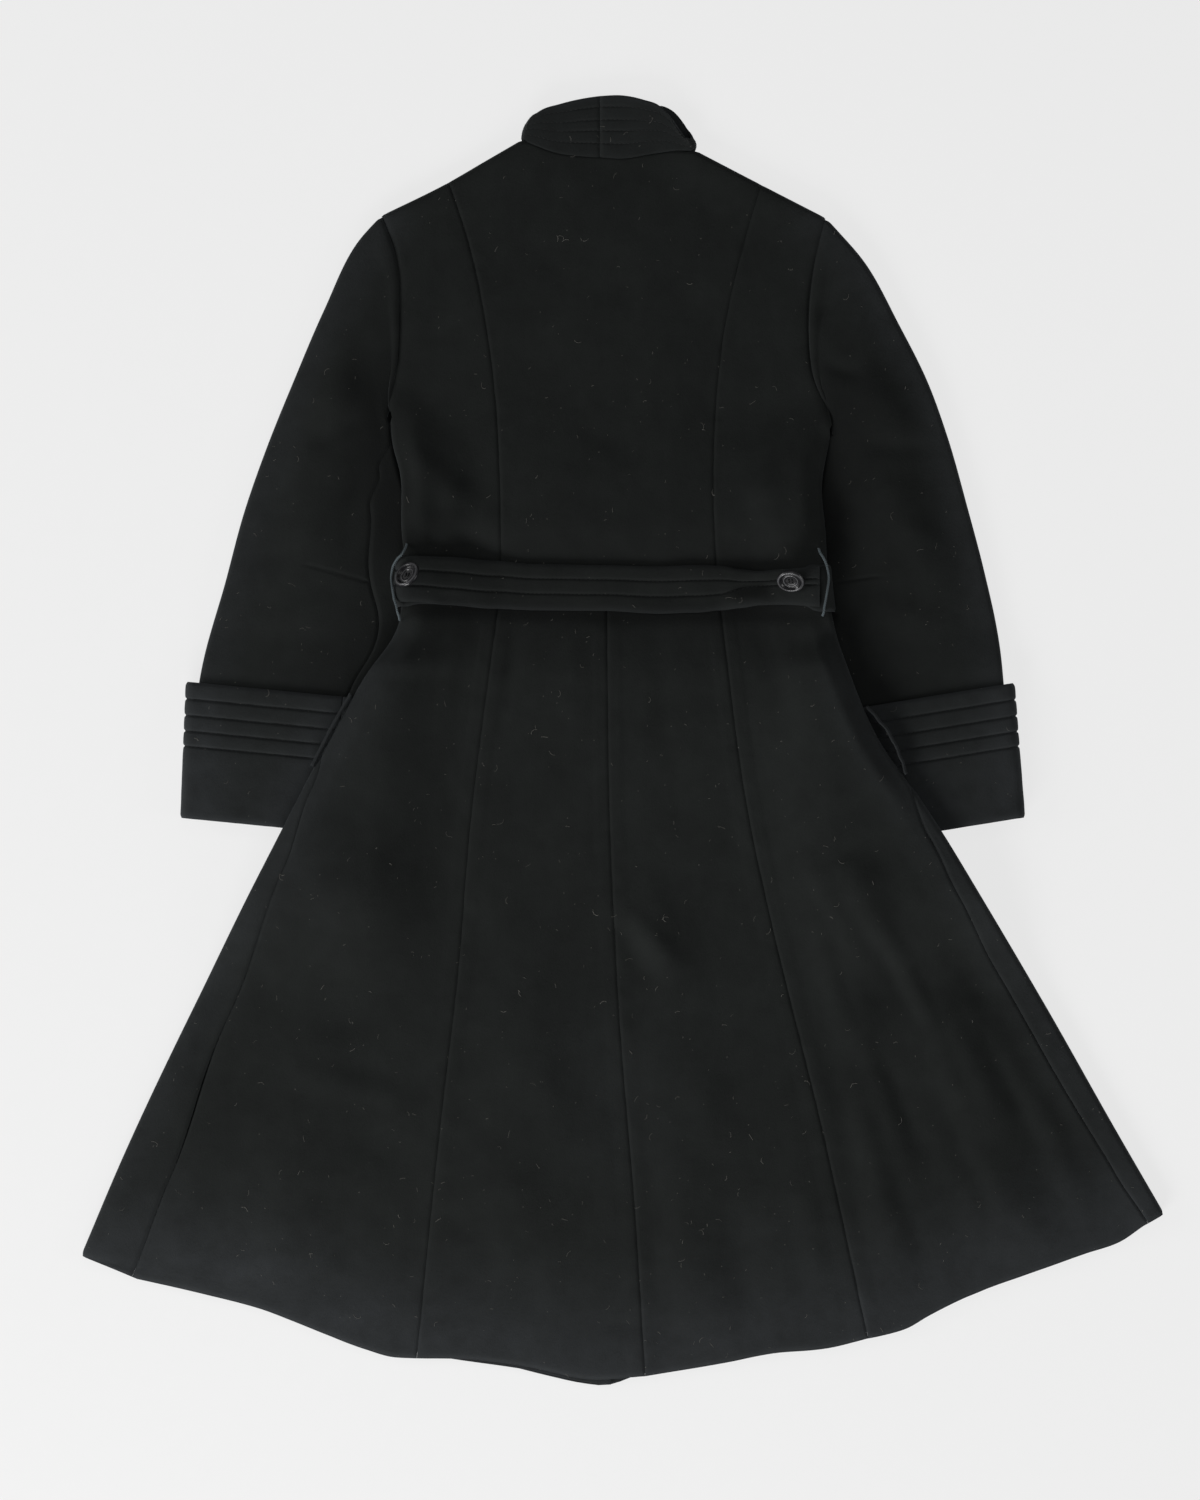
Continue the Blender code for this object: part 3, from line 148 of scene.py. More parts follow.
FRONT_HEM = {
    "left": ((7, 1107), (-19, 1104), (-50, 1097), (-168, 1078), (-358, 1020)),
    "right": ((-79, 1092), (-47, 1100), (-19, 1106), (2, 1108), (33, 1098), (239, 1060), (429, 986)),
}

# How far the side seam lies in from the skirt's folded edge, rows of (share of the way down, inset)
SIDE_SEAM_INSET = {
    "left": ((0, 0), (0.22, 0), (0.30, 8), (0.41, 18), (0.62, 32), (0.85, 47), (1, 50)),
    "right": ((0, 0), (0.27, 0), (0.38, 13), (0.47, 17), (0.58, 22), (0.73, 23), (0.92, 20), (1, 17)),
}

# Sleeve edges, rows of (across, down), from the armhole to the sleeve's end inside the cuff
SLEEVE_OUTER = {
    "left": ((-200, 53), (-219, 74), (-252, 139), (-279, 202), (-304, 264), (-323.5, 320), (-341, 385),
             (-359, 449), (-364, 475), (-366, 580)),
    "right": ((201, 55), (212, 67), (233, 91), (267.5, 152), (292.5, 202), (311, 253), (328.5, 315),
              (344, 374), (357, 436), (361, 475), (365, 580)),
}
SLEEVE_INNER = {
    "left": ((-191, 232), (-188.6, 256), (-182.8, 283), (-177.5, 302), (-169.5, 346), (-167, 384),
             (-166, 418), (-174, 445), (-200, 481), (-214, 526), (-220, 580)),
    "right": ((204.5, 245), (200.2, 267), (194.3, 297), (189.5, 340), (187.5, 364), (188, 400),
              (190, 436), (204, 481), (215, 526), (221, 580)),
}
# Seam's distance in from the sleeve's inner edge, rows of (share of the way down, inset)
SLEEVE_SEAM_INSET = {
    "left": ((0, 0), (0.18, 1), (0.32, 19), (0.42, 34), (0.55, 41), (0.72, 31), (0.85, 24), (1, 22)),
    "right": ((0, 0), (1, 0)),
}
# Crown of the sleeve's upper side, and its lift over the underarm and the cuff's lower wall,
# rows of (share of the way down, height)
SLEEVE_CROWN = ((0, 0), (0.08, 0.4), (0.22, 6), (0.45, 8), (0.65, 5), (0.75, 0), (1, 0))
SLEEVE_LIFT = ((0, 0.4), (0.1, 0.4), (0.2, 0), (0.66, 0), (0.75, 3.6), (1, 3.6))
# Sections of the sleeve fan out from the underarm: powers of their shares along the outer and inner folds
OUTER_FAN = 0.8
INNER_FAN = 1.6
FIRST_SECTION = 1 / 11
UNDERARM_TUCK = 0.3
# Seam allowance inside each underarm, where body and sleeve meet: middle (across, down), width and length
UNDERARM_ALLOWANCE = {"left": (-192, 233, 8, 15), "right": (204.8, 248, 8, 17)}
# Points of the body's fold that stay open under each underarm
UNDERARM_OPEN = 5
# Oval of paper under the waist and the sleeves, with painted shade where its glow is taken away: middle
# (across, down) and half sizes
COVERED_MIDDLE = (0, 400)
COVERED_REACH = (285, 230)
# Elbow darts, sewn lines on the sleeves' upper sides: (across, down) at both ends
ELBOW_DART = {"left": (-266, 368, -212, 383), "right": (208, 384, 248, 378)}
DART_BAND = 0.034
# Width that the sleeve's columns share, and how much wider apart they stand than on the body
SLEEVE_WIDTH = 0.165
SLEEVE_COARSER = 1.2

# Turned-back cuffs: corners as (across, down), and the stitched rows' shares of the way down
CUFF_CORNERS = {
    "left": {"outer_top": (-376, 473), "outer_end": (-381, 595.5), "inner_top": (-201, 490),
             "inner_end": (-212, 612)},
    "right": {"outer_top": (371, 474), "outer_end": (380.5, 595), "inner_top": (204, 501),
              "inner_end": (212, 622)},
}
CUFF_RADIUS = 0.0093
CUFF_SEAM_INSET = {"left": 0.033, "right": 0.0}
CUFF_GROOVES = (0.125, 0.245, 0.360, 0.470)

# Height of the body over the sleeves and cuffs under its edges, rows of (down, height)
BODY_LIFT = ((218, 0), (350, 12.6), (436, 12.6), (462, 19), (650, 19), (760, 0))
BODY_LIFT_FADE = 0.075
UNDER_EDGE = {
    "left": ((-193, 232), (-179, 346), (-179, 384), (-185, 440), (-199, 470), (-201, 490),
             (-212, 625), (-222, 760)),
    "right": ((207, 245), (197, 297), (199, 364), (203, 440), (204, 500), (212, 625), (222, 760)),
}

# Largest folds, as in the solids: (across, down) at each end, ridge height and half width
BACK_FOLDS = (
    (-134, 292, -136, 340, 3.4, 16), (150, 290, 154, 340, 3.4, 16), (26, 660, 66, 760, 4.5, 30),
    (62, 880, 84, 1060, 4.5, 34), (222, 640, 250, 720, 8, 20), (196, 690, 232, 800, 6, 22),
    (286, 745, 352, 870, 9, 26), (212, 850, 262, 990, 6, 26), (330, 880, 390, 985, 5, 28),
    (-200, 640, -262, 800, 4.5, 34), (-250, 850, -312, 1000, 6, 34), (-70, 700, -82, 980, 3.5, 34),
)
SLEEVE_FOLDS = {
    "left": ((-236, 203, -298, 255, 4, 18), (-252, 311, -292, 394, 4, 18),
             (-228, 160, -246, 240, 3, 16)),
    "right": ((204, 157, 229, 124, 3.5, 12), (243, 205, 285, 262, 4, 18), (262, 300, 316, 398, 4, 18)),
}
# Finer creases that fade out at both ends, same columns, with troughs below zero
BACK_CREASES = (
    (-188, 257, -95, 333, 2.4, 13), (-176, 210, -112, 262, -2, 20), (199, 245, 108, 339, 2.6, 13),
    (192, 200, 116, 258, -2, 20), (-137, 333, -112, 359, -2.4, 9), (-156, 338, -153, 362, -1.8, 7),
    (164, 346, 190, 362, -2, 8), (-60, 120, -66, 250, -1, 20), (40, 90, 58, 220, 1.1, 22),
    (-30, 250, 40, 262, -0.9, 16), (-74, 418, -92, 530, -1.6, 10), (-24, 420, -26, 520, 1.3, 12),
    (48, 420, 58, 540, -1.5, 11), (146, 420, 172, 540, -1.8, 12), (-128, 420, -150, 540, 1.6, 11),
    (-264, 590, -234, 690, 3.4, 30), (-268, 756, -210, 792, -2.2, 24), (-294, 816, -168, 855, 2, 13),
    (-226, 886, -166, 906, -2.4, 18), (-156, 900, -176, 1060, -1.8, 16), (-352, 880, -392, 1000, 2, 16),
    (-300, 930, -326, 1020, -1.8, 15), (16, 672, 70, 734, 3, 10), (4, 690, 50, 748, -1.8, 10),
    (-52, 812, -34, 896, 2.4, 18), (86, 812, 102, 896, 2.4, 18), (18, 800, 30, 905, -1.6, 22),
    (-40, 960, -50, 1080, 1.6, 18), (112, 930, 136, 1060, -1.9, 18), (-4, 1053, 38, 1053, -1.4, 5),
    (195, 676, 234, 792, -1.9, 9), (226, 676, 292, 794, -1.9, 9), (282, 731, 345, 874, -2, 9),
    (248, 801, 303, 928, -1.8, 10), (204, 801, 240, 950, -1.7, 10), (298, 836, 356, 966, -1.7, 10),
    (180, 625, 243, 745, 1.9, 9), (242, 680, 307, 795, 1.9, 9), (298, 715, 406, 882, 1.9, 11),
    (230, 786, 276, 916, 1.6, 10), (336, 770, 388, 884, -1.7, 10), (262, 915, 296, 1020, -1.5, 11),
    (392, 850, 432, 950, 2, 12), (172, 900, 204, 1040, 2, 13), (-96, 560, -110, 690, 1.6, 18),
    (60, 520, 76, 640, -1.4, 18), (-330, 720, -372, 830, -2, 15), (128, 560, 150, 700, 1.5, 16),
)
SLEEVE_CREASES = {
    "left": (
        (-213, 276, -231, 366, -3, 10), (-232, 198, -302, 260, 1.4, 9), (-216, 232, -262, 262, -2, 9),
        (-270, 350, -318, 372, -1.6, 10), (-246, 398, -330, 432, 1.4, 11), (-232, 432, -318, 452, -1.6, 9),
        (-222, 110, -238, 170, -1.6, 11), (-286, 280, -304, 330, -1.3, 10),
    ),
    "right": (
        (191, 150, 214, 115, -2.6, 7), (199, 187, 235, 199, -2.4, 8), (232, 261, 296, 263, -2.4, 10),
        (204, 294, 224, 328, -2.6, 10), (258, 330, 318, 352, 1.4, 10), (246, 404, 330, 430, 1.4, 11),
        (236, 438, 322, 452, -1.6, 9), (226, 110, 252, 150, -1.4, 10),
    ),
}
CREASE_END = 0.15
FRONT_CREASES = (
    (-120, 140, -90, 250, 1.1, 18), (118, 150, 90, 260, 1, 18), (-190, 500, -240, 700, 1.2, 24),
    (-90, 560, -120, 820, 1.1, 22), (-230, 780, -300, 960, 1.2, 22), (120, 540, 170, 760, 1.1, 22),
    (220, 720, 300, 920, 1.2, 22), (80, 860, 100, 1040, 1, 20), (-150, 900, -170, 1040, 1, 18),
)

# Stand collar from the centre back round to the centre front, with columns
# base across, base down, base height, rim across, rim down, rim height
COLLAR = {
    "left": (
        (-2.85, -0.4, 6.2, -2.85, -54.8, 6.2), (-19, -1.4, 6.4, -17, -52.6, 6.8),
        (-42, -4.4, 7, -38, -47.6, 7.6), (-67.5, -13.6, 8.5, -58.5, -39.6, 8.5),
        (-70.6, -15, 7.6, -62.4, -36.4, 7.6), (-71.6, -15.4, 5.5, -63.4, -35.4, 5.5),
        (-70.6, -12, 3.4, -62, -33, 3.4), (-63, 3, 2.5, -50, -26, 2.5),
        (-54, 22, 2.5, -30, -10, 2.5), (-34, 49, 2.5, -14, 10, 2.5),
        (-0.4, 66, 2.5, -0.4, 22, 2.5),
    ),
    "right": (
        (-2.55, -0.4, 6.2, -2.55, -54.8, 6.2), (18, 0.6, 6.4, 16, -55.3, 7),
        (43, -3.4, 7.2, 37, -51, 8.5), (57, -5.4, 7.8, 50.4, -46, 9.4),
        (66, -6.4, 8.2, 60.5, -36, 10.4), (76, -6.4, 8, 69.5, -23, 11.6),
        (79.8, -6.6, 7.4, 76, -15.5, 11), (80.8, -6.4, 5.6, 78.8, -15.5, 8.6),
        (79.2, -3, 3.6, 78.2, -19.2, 5.6), (75, 4, 2.6, 73.3, -29.8, 4),
        (71, 10, 2.5, 62.8, -42.2, 3.4), (66.5, 17, 2.5, 52.2, -46.8, 3),
        (55, 33, 2.5, 37, -30, 2.5), (36, 51, 2.5, 18, 6, 2.5),
        (0.4, 66, 2.5, 0.4, 22, 2.5),
    ),
}
COLLAR_GROOVES = (0.175, 0.385, 0.56, 0.765)
COLLAR_DEPTH = 0.055
# Middle of the halves' seam, across, then in metres how far the base tucks under the neckline and how far
# the halves lap
COLLAR_CENTRE = -2.7
COLLAR_TUCK = 0.0010
COLLAR_OVERLAP = 0.0002

# Belt: its middle line and the front belt's, rows of (across, down), the half belt's edges, rows of
# (across, upper down, lower down), its twist as a fold, its stitched rows, where its pieces end and lap, and
# how far the front belt narrows
BELT_LINE = ((-200, 382), (-120, 385), (11, 389), (120, 388), (210, 389))
FRONT_BELT_LINE = ((-200, 390), (-186, 388.5), (-166, 382.5), (-139, 383), (0, 386), (165, 389), (210, 390))
BELT_EDGES = (
    (-200, 361, 402), (-165, 361, 402), (-140, 361.5, 404.5), (-100, 364.5, 407.5), (-60, 367.5, 409),
    (0, 368.5, 409.5), (50, 369.5, 412), (85, 368.5, 411), (105, 369, 409), (125, 372.5, 406.5),
    (140, 374, 404.5), (160, 372.5, 404.5), (200, 370, 407),
)
BELT_FOLDS = ((112, 403, 146, 400, 4.5, 8),)
BELT_GROOVES = (0.31, 0.64)
BACK_BELT_END_ACROSS = 194
BELT_OVERLAP = (0.050, 0.095)
BELT_LIFT_RAMP = (0.025, 0.055)
FRONT_BELT_REACH = (0.038, 0.170)
FRONT_BELT_NARROW = {"left": 0.0, "right": 0.28}
# Rises of the back beside the belt: height, then the distances from the belt's middle over which each comes
# up and goes down
WAIST_LEVEL = (BELT_STEP, BELT_LIFT_RAMP, (0.100, 0.220))
POUCH = (0.0030, (0.0215, 0.036), (0.050, 0.150))
SKIRT_SWELL = (0.0060, (0.020, 0.085), (0.110, 0.320))
BODICE_SWELL = (0.0045, (0.020, 0.060), (0.070, 0.180))
# Hollows and rolls of the half belt, same columns as the folds
BELT_CREASES = (
    (118, 391, 152, 385, -1.6, 5), (-150, 398, -118, 402, -1.1, 6), (-60, 374, -20, 378, 0.6, 8),
    (30, 396, 84, 394, -0.7, 9), (-140, 366, -96, 372, 0.7, 7), (60, 374, 104, 376, 0.6, 7),
)
# The lower stitched row is drawn up to the right button: its share of the width, and where across that
# starts and ends
BELT_DRAWN_UP = (0.20, 104, 140)

# Relief of the back: pressed seam allowances, puckers along the seams (reach and height, size and seed), soft
# waves (share, size and seed) and the deepest hollow
ALLOWANCE_HEIGHT = 0.0005
ALLOWANCE_EDGE = (0.0100, 0.0135)
PUCKER = (0.010, 0.0006)
PUCKER_WAVES = (0.009, 3.0)
BACK_WAVES = ((1.0, 0.060, 0.0), (0.60, 0.022, 7.0), (0.15, 0.009, 9.0))
DEEPEST_HOLLOW = -0.0032
# Rise of the sleeve's head beside the armhole: its middle, then reach and height
HEAD_AT = 0.010
HEAD_RISE = (0.008, 0.0017)
# Reach and share of the thickness by which the sleeve is drawn in at its dart, armhole and seam
DART_DRAW = (0.0012, 0.42)
ARMHOLE_DRAW = (0.0026, 0.60)
SLEEVE_SEAM_DRAW = (0.0020, 0.35)
# Least share of a quilted wall's thickness
THINNEST = 0.3
# Reach of a stitched row's hollow, of a quilted edge's roll and of a hem's wear and painted highlight
STITCH_DRAW = 0.0011
EDGE_ROLL = 0.0018
HEM_WEAR_AND_HIGHLIGHT = 0.005

# Buttons: place on the belt (across, down), tilt about Y and X in degrees, rise over the belt's inner face
BUTTONS = {"left": (-173, 380, -42, -30, 9.4), "right": (168, 381.5, 4, 47, 10.8)}
# Half profile from the dished floor out over two rings and round the edge to the back: radius share, height
BUTTON_PROFILE = (
    (0.35, 2.9), (0.39, 2.95), (0.42, 3.25), (0.46, 3.65), (0.50, 3.75), (0.54, 3.60), (0.57, 3.25),
    (0.60, 3.1), (0.64, 3.2), (0.69, 3.9), (0.74, 4.8), (0.79, 5.25), (0.85, 5.40), (0.91, 5.25),
    (0.96, 4.7), (0.99, 3.9), (1.0, 3.2), (0.99, 2.4), (0.96, 1.5), (0.90, 0.8),
    (0.80, 0.45), (0.50, 0.4), (0.0, 0.4),
)
# Tops of its two rings, paler with wear and a painted highlight: radius share and half width
BUTTON_RINGS = ((0.90, 0.050), (0.50, 0.036))
BUTTON_HOLE_CIRCLE = 0.0021
BUTTON_HOLE_RADIUS = 0.00095
BUTTON_SEGMENTS = 48
BUTTON_WEAR_AND_HIGHLIGHT_ABOVE = 0.0032

# Thread loops round the belt at the folded sides, with columns down, degrees up round the fold, radius
BELT_LOOPS = {
    "left": ((350, 76, 6.7), (353, 73, 9.0), (356, 70, 12.0), (359.5, 65, 14.7), (365, 40, 14.9),
             (372, 16, 15.4), (380, 11, 15.5), (388, 26, 15.1), (394, 36, 14.9), (400, 45, 14.9),
             (406, 56, 14.8), (411, 62, 14.4), (415, 60, 10.0), (418.5, 56, 6.9)),
    "right": ((354, 106, 7.1), (358, 96, 8.4), (362, 82, 9.8), (366.5, 72, 11.0), (372, 66, 11.4),
              (380, 62, 11.5), (390, 73, 11.4), (400, 88, 11.2), (407, 100, 11.1), (411, 106, 10.9),
              (414.5, 124, 8.4)),
}

# Rolled pocket edges along the skirt's folded side, rows of (share of the way down, distance out)
POCKET_EDGE = {
    "left": ((0.160, 0.6), (0.185, 0.9), (0.215, 1.1), (0.245, 0.9), (0.270, 0.6)),
    "right": ((0.175, 0.6), (0.195, 5.0), (0.215, 8.5), (0.240, 8.0), (0.262, 5.0), (0.285, 0.6)),
}
POCKET_EDGE_FROM = 0.0030
POCKET_EDGE_TO = 0.0095

# Painted light and shade: softly lighter and darker places of the back's wool: across, down, half width, half
# length, change of tone
LIGHT_AND_SHADE_PATCHES = (
    (10, 852, 65, 75, 0.16), (-237, 785, 42, 26, -0.18), (-259, 650, 45, 50, 0.14),
    (-180, 706, 30, 70, -0.15), (-320, 1003, 34, 18, 0.35), (-215, 1040, 34, 22, 0.30),
    (-152, 226, 40, 36, -0.20), (155, 256, 42, 40, -0.20), (240, 760, 60, 90, -0.10),
    (138, 966, 40, 24, 0.15), (-60, 930, 40, 60, -0.10), (330, 900, 50, 60, -0.10),
)
# Reach and change of tone: painted light at the hem and the outer edges, painted shade at the waist, under the
# belt, whose shade lies a little below its middle, and on the sleeves beside the body
PAINTED_HEM_LIGHT = (0.070, 1.0)
PAINTED_SIDE_LIGHT = (0.026, 0.55)
WAIST_SHADE = (0.060, 0.40)
BELT_SHADE = (0.007, 0.60)
BELT_SHADE_BELOW = 0.024
SLEEVE_SHADE = (0.050, 0.75)

# Stage: height and middle of the photograph's frame, and the lights as name, place, aim, size, power
VIEW_HEIGHT = 1.35
VIEW_MIDDLE = (-0.0202, -0.0089, 0.012)
LIGHTS = (
    ("hem light", (-1.1, -2.6, 1.15), (0.0, -0.15, 0.0), (2.0, 0.9), 92.0),
    ("left light", (-2.6, 0.2, 1.0), (-0.1, -0.05, 0.0), (1.6, 0.9), 36.0),
    ("right light", (2.6, -0.5, 1.2), (0.1, -0.05, 0.0), (1.6, 0.9), 19.0),
    ("top light", (0.0, 1.6, 2.4), (0.0, 0.0, 0.0), (1.6, 1.0), 8.0),
)


# Plan curves
def place(rows):
    """Points in the frame for rows of (across, down), or the point of one pair."""
    return np.array(NAPE) + np.asarray(rows, dtype=float) * (MM, -MM)


def smooth_curve(knots, spacing=0.002):
    """Points about a spacing apart on a smooth curve through the knots."""
    chord = reach_of(knots)
    slope = np.gradient(knots, chord, axis=0)
    reach = np.linspace(0.0, chord[-1], max(3, int(chord[-1] / spacing)))
    part = np.clip(np.searchsorted(chord, reach, side="right") - 1, 0, len(chord) - 2)
    step = chord[part + 1] - chord[part]
    share = ((reach - chord[part]) / step)[:, None]
    step = step[:, None]
    return (
        knots[part] * (1 + 2 * share) * (1 - share) ** 2
        + slope[part] * step * share * (1 - share) ** 2
        + knots[part + 1] * share ** 2 * (3 - 2 * share)
        + slope[part + 1] * step * share ** 2 * (share - 1)
    )


def drawn(rows):
    """Smooth curve through rows of (across, down)."""
    return smooth_curve(place(rows))


def reach_of(curve):
    """Length of a curve up to each of its points."""
    return np.concatenate(([0.0], np.cumsum(np.linalg.norm(np.diff(curve, axis=0), axis=1))))


def length_of(curve):
    """Length of a row of points."""
    return reach_of(curve)[-1]


def along(curve, shares):
    """Points at the given shares of a curve's length."""
    reach = reach_of(curve)
    wanted = shares * reach[-1]
    return np.stack([np.interp(wanted, reach, curve[:, axis]) for axis in range(curve.shape[1])], axis=-1)


def inward(curve, toward):
    """Unit directions square to a curve, on the side where a point lies."""
    direction = np.gradient(curve, axis=0)
    square = np.stack((-direction[:, 1], direction[:, 0]), axis=1)
    square /= np.linalg.norm(square, axis=1)[:, None]
    return square * np.sign(((toward - curve) * square).sum())


def inset(curve, distance, toward):
    """The curve moved square to itself toward a point."""
    return curve + distance * inward(curve, toward)


def ease(value, start, end):
    """Smooth step from 0 at start to 1 at end."""
    share = np.clip((value - start) / (end - start), 0, 1)
    return share * share * (3 - 2 * share)


def bell(distance, reach, height=1.0):
    """Soft hump with its height at no distance, gone at about twice the reach."""
    return height * np.exp(-(distance / reach) ** 2)


def swell(value, height, rise, fall):
    """A height that comes up over one range of values and goes down over another."""
    return height * ease(value, *rise) * (1 - ease(value, *fall))


def table_value(table, value):
    """Eased value of a table whose second column is in millimetres."""
    table = np.asarray(table, dtype=float)
    row = np.clip(np.searchsorted(table[:, 0], value, side="right") - 1, 0, len(table) - 2)
    share = (value - table[row, 0]) / (table[row + 1, 0] - table[row, 0])
    return MM * (table[row, 1] + (table[row + 1, 1] - table[row, 1]) * ease(share, 0, 1))


# Seam and edge curves in the frame
BODY_MIDDLE = place((0, 200))
SHOULDER_FOLD = {side: inset(drawn(SHOULDER[side]), WALL, BODY_MIDDLE) for side in SIDES}
BODY_OUTLINE = {
    side: drawn((UNDERARM[side],) + BODY_SIDE[side] + SKIRT_SIDE[side]) for side in SIDES
}
BODY_INWARD = {side: inward(BODY_OUTLINE[side], BODY_MIDDLE) for side in SIDES}
BODY_FOLD = {side: BODY_OUTLINE[side] + WALL * BODY_INWARD[side] for side in SIDES}
WAIST_ROW = {
    side: int(np.argmin(np.abs(BODY_OUTLINE[side][:, 1] - (NAPE[1] - WAIST_DOWN * MM)))) for side in SIDES
}
ARMHOLE = {
    side: smooth_curve(np.vstack((SHOULDER_FOLD[side][-1:], place(ARMHOLE_MIDDLE[side] + (UNDERARM[side],)))))
    for side in SIDES
}
SLEEVE_MIDDLE = {"left": place((-270, 330)), "right": place((272, 330))}
SLEEVE_OUTER_FOLD = {
    side: inset(drawn(SLEEVE_OUTER[side]), WALL, SLEEVE_MIDDLE[side]) for side in SIDES
}
SLEEVE_INNER_FOLD = {
    side: inset(drawn(SLEEVE_INNER[side]), WALL, SLEEVE_MIDDLE[side]) for side in SIDES
}
SKIRT_SEAMS = [drawn(CENTRE_BACK)] + [drawn(SKIRT_PRINCESS[side]) for side in SIDES]
BACK_SEAMS = SKIRT_SEAMS + [drawn(BODICE_PRINCESS[side]) for side in SIDES]
HALF_HEM = {
    side: CENTRE_BACK_HEM[side] + SKIRT_PRINCESS[side][-1:] + SIDE_BACK_HEM[side] + SKIRT_SIDE[side][-1:]
    for side in SIDES
}
BACK_HEM = drawn(HALF_HEM["left"][::-1] + CENTRE_BACK[-1:] + HALF_HEM["right"])
OUTER_EDGES = [BODY_OUTLINE[side][WAIST_ROW[side]:] for side in SIDES]
OUTER_EDGES += [SLEEVE_OUTER_FOLD[side] for side in SIDES]


# Heights of the layers, given for the cloth's inner face
def edge_distance(points, curves):
    """Distance from each point to the nearest of several curves."""
    flat = points.reshape(-1, 2)
    nearest = np.full(len(flat), np.inf)
    for curve in curves:
        tree = kdtree.KDTree(len(curve))
        for index, (x, y) in enumerate(curve):
            tree.insert((x, y, 0.0), index)
        tree.balance()
        closest = np.array([tree.find((x, y, 0.0))[1] for x, y in flat])
        for shift in (-1, 0):
            first = np.clip(closest + shift, 0, len(curve) - 2)
            start = curve[first]
            run = curve[first + 1] - start
            share = np.clip(((flat - start) * run).sum(-1) / ((run * run).sum(-1) + 1e-15), 0, 1)
            nearest = np.minimum(nearest, np.linalg.norm(flat - start - share[:, None] * run, axis=-1))
    return nearest.reshape(points.shape[:-1])


def rounded(distance, radius=INNER_RADIUS):
    """Rise of a folded edge's round above its middle, at a distance in from the fold."""
    within = np.clip(distance, 0.0, radius)
    return np.maximum(np.sqrt(np.maximum(radius ** 2 - (radius - within) ** 2, 0.0)), SEAM_GAP / 2)


def belt_middle(x):
    """Y of the belt's middle line."""
    line = place(BELT_LINE)
    return np.interp(x, line[:, 0], line[:, 1])


def from_belt(points):
    """Distance from the belt's middle line, up or down."""
    return np.abs(points[..., 1] - belt_middle(points[..., 0]))


def body_lift(points):
    """Height of the body over the sleeves and cuffs under its sides, and over the belt under its front."""
    down = (NAPE[1] - points[..., 1]) / MM
    lift = np.zeros(down.shape)
    for side in SIDES:
        inner = place(UNDER_EDGE[side])
        edge = np.interp(-points[..., 1], -inner[:, 1], inner[:, 0])
        inside = (edge - points[..., 0]) * OUTWARD_X[side]
        lift = lift + table_value(BODY_LIFT, np.clip(down, 0, 1200)) * (1 - ease(inside, 0.0, BODY_LIFT_FADE))
    return lift + BELT_STEP * (1 - ease(from_belt(points), *BELT_LIFT_RAMP))


def ridges(points, table, past_end=0.35):
    """Height that a table's folds add, which run out softly a share of their length past both ends."""
    total = np.zeros(points.shape[:-1])
    for *ends, height, half_width in table:
        start, end = place((ends[:2], ends[2:]))
        run = end - start
        share = ((points - start) @ run) / (run @ run)
        foot = start + np.clip(share, 0, 1)[..., None] * run
        away = np.linalg.norm(points - foot, axis=-1)
        strength = ease(share, -past_end, 0.35) * (1 - ease(share, 0.65, 1 + past_end))
        total = total + strength * height * MM * bell(away, half_width * MM)
    return total


def waves(points, size, seed=0.0):
    """Soft random heights between -1 and 1, about a size apart."""
    flat = points.reshape(-1, 2) / size
    values = [noise.noise(Vector((x, y, seed))) for x, y in flat]
    return np.array(values).reshape(points.shape[:-1])


def body_edge_distance(points):
    """Distance in from the body's folded edges, which start a little under the open underarms."""
    sides = [BODY_FOLD[side][UNDERARM_OPEN:] for side in SIDES]
    return edge_distance(points, [SHOULDER_FOLD[side] for side in SIDES] + sides)


def back_form(points):
    """Height of the back's inner face as in the solids."""
    distance = body_edge_distance(points)
    flat = FOLD_RADIUS + rounded(distance) - BACK_SINK * ease(distance, INNER_RADIUS, SINK_WIDTH)
    from_seams = np.minimum(distance, edge_distance(points, BACK_SEAMS))
    return flat + body_lift(points) + ridges(points, BACK_FOLDS) * ease(from_seams, *FOLD_FADE)


def waist_swell(points):
    """Rise of the back on both sides of the belt, which draws it in."""
    down = belt_middle(points[..., 0]) - points[..., 1]
    skirt = swell(down, *POUCH) + swell(down, *SKIRT_SWELL)
    return swell(np.abs(down), *WAIST_LEVEL) + skirt + swell(-down, *BODICE_SWELL)


def back_height(points, unevenness):
    """Height of the back's inner face with its creases, pressed seam allowances, puckers and unevenness."""
    pressed = ALLOWANCE_HEIGHT * (1 - ease(edge_distance(points, SKIRT_SEAMS), *ALLOWANCE_EDGE))
    pucker = waves(points, *PUCKER_WAVES) * bell(edge_distance(points, BACK_SEAMS), *PUCKER)
    uneven = unevenness * sum(share * waves(points, size, seed) for share, size, seed in BACK_WAVES)
    detail = ridges(points, BACK_CREASES, CREASE_END) + uneven + pressed + pucker
    added = np.maximum(detail, DEEPEST_HOLLOW) * ease(from_belt(points), 0.023, 0.042) + waist_swell(points)
    return back_form(points) + added * ease(body_edge_distance(points), 0.001, 0.020)


def front_height(points):
    """Height of the front's inner face, which lies on the floor where nothing is under it."""
    from_fold = body_edge_distance(points)
    detail = ridges(points, FRONT_CREASES, CREASE_END) + 0.0004 * (1 + waves(points, 0.050, 5.0))
    lifted = detail * ease(from_belt(points), 0.030, 0.060) * ease(from_fold, 0.008, 0.030)
    return FOLD_RADIUS - rounded(from_fold) + body_lift(points) + lifted


# Grids
def fold_steps(radius=INNER_RADIUS):
    """Distances in from a fold's middle line at even turns of its round."""
    return radius * (1 - np.cos(np.linspace(0.0, math.pi / 2, TURNS + 1)))


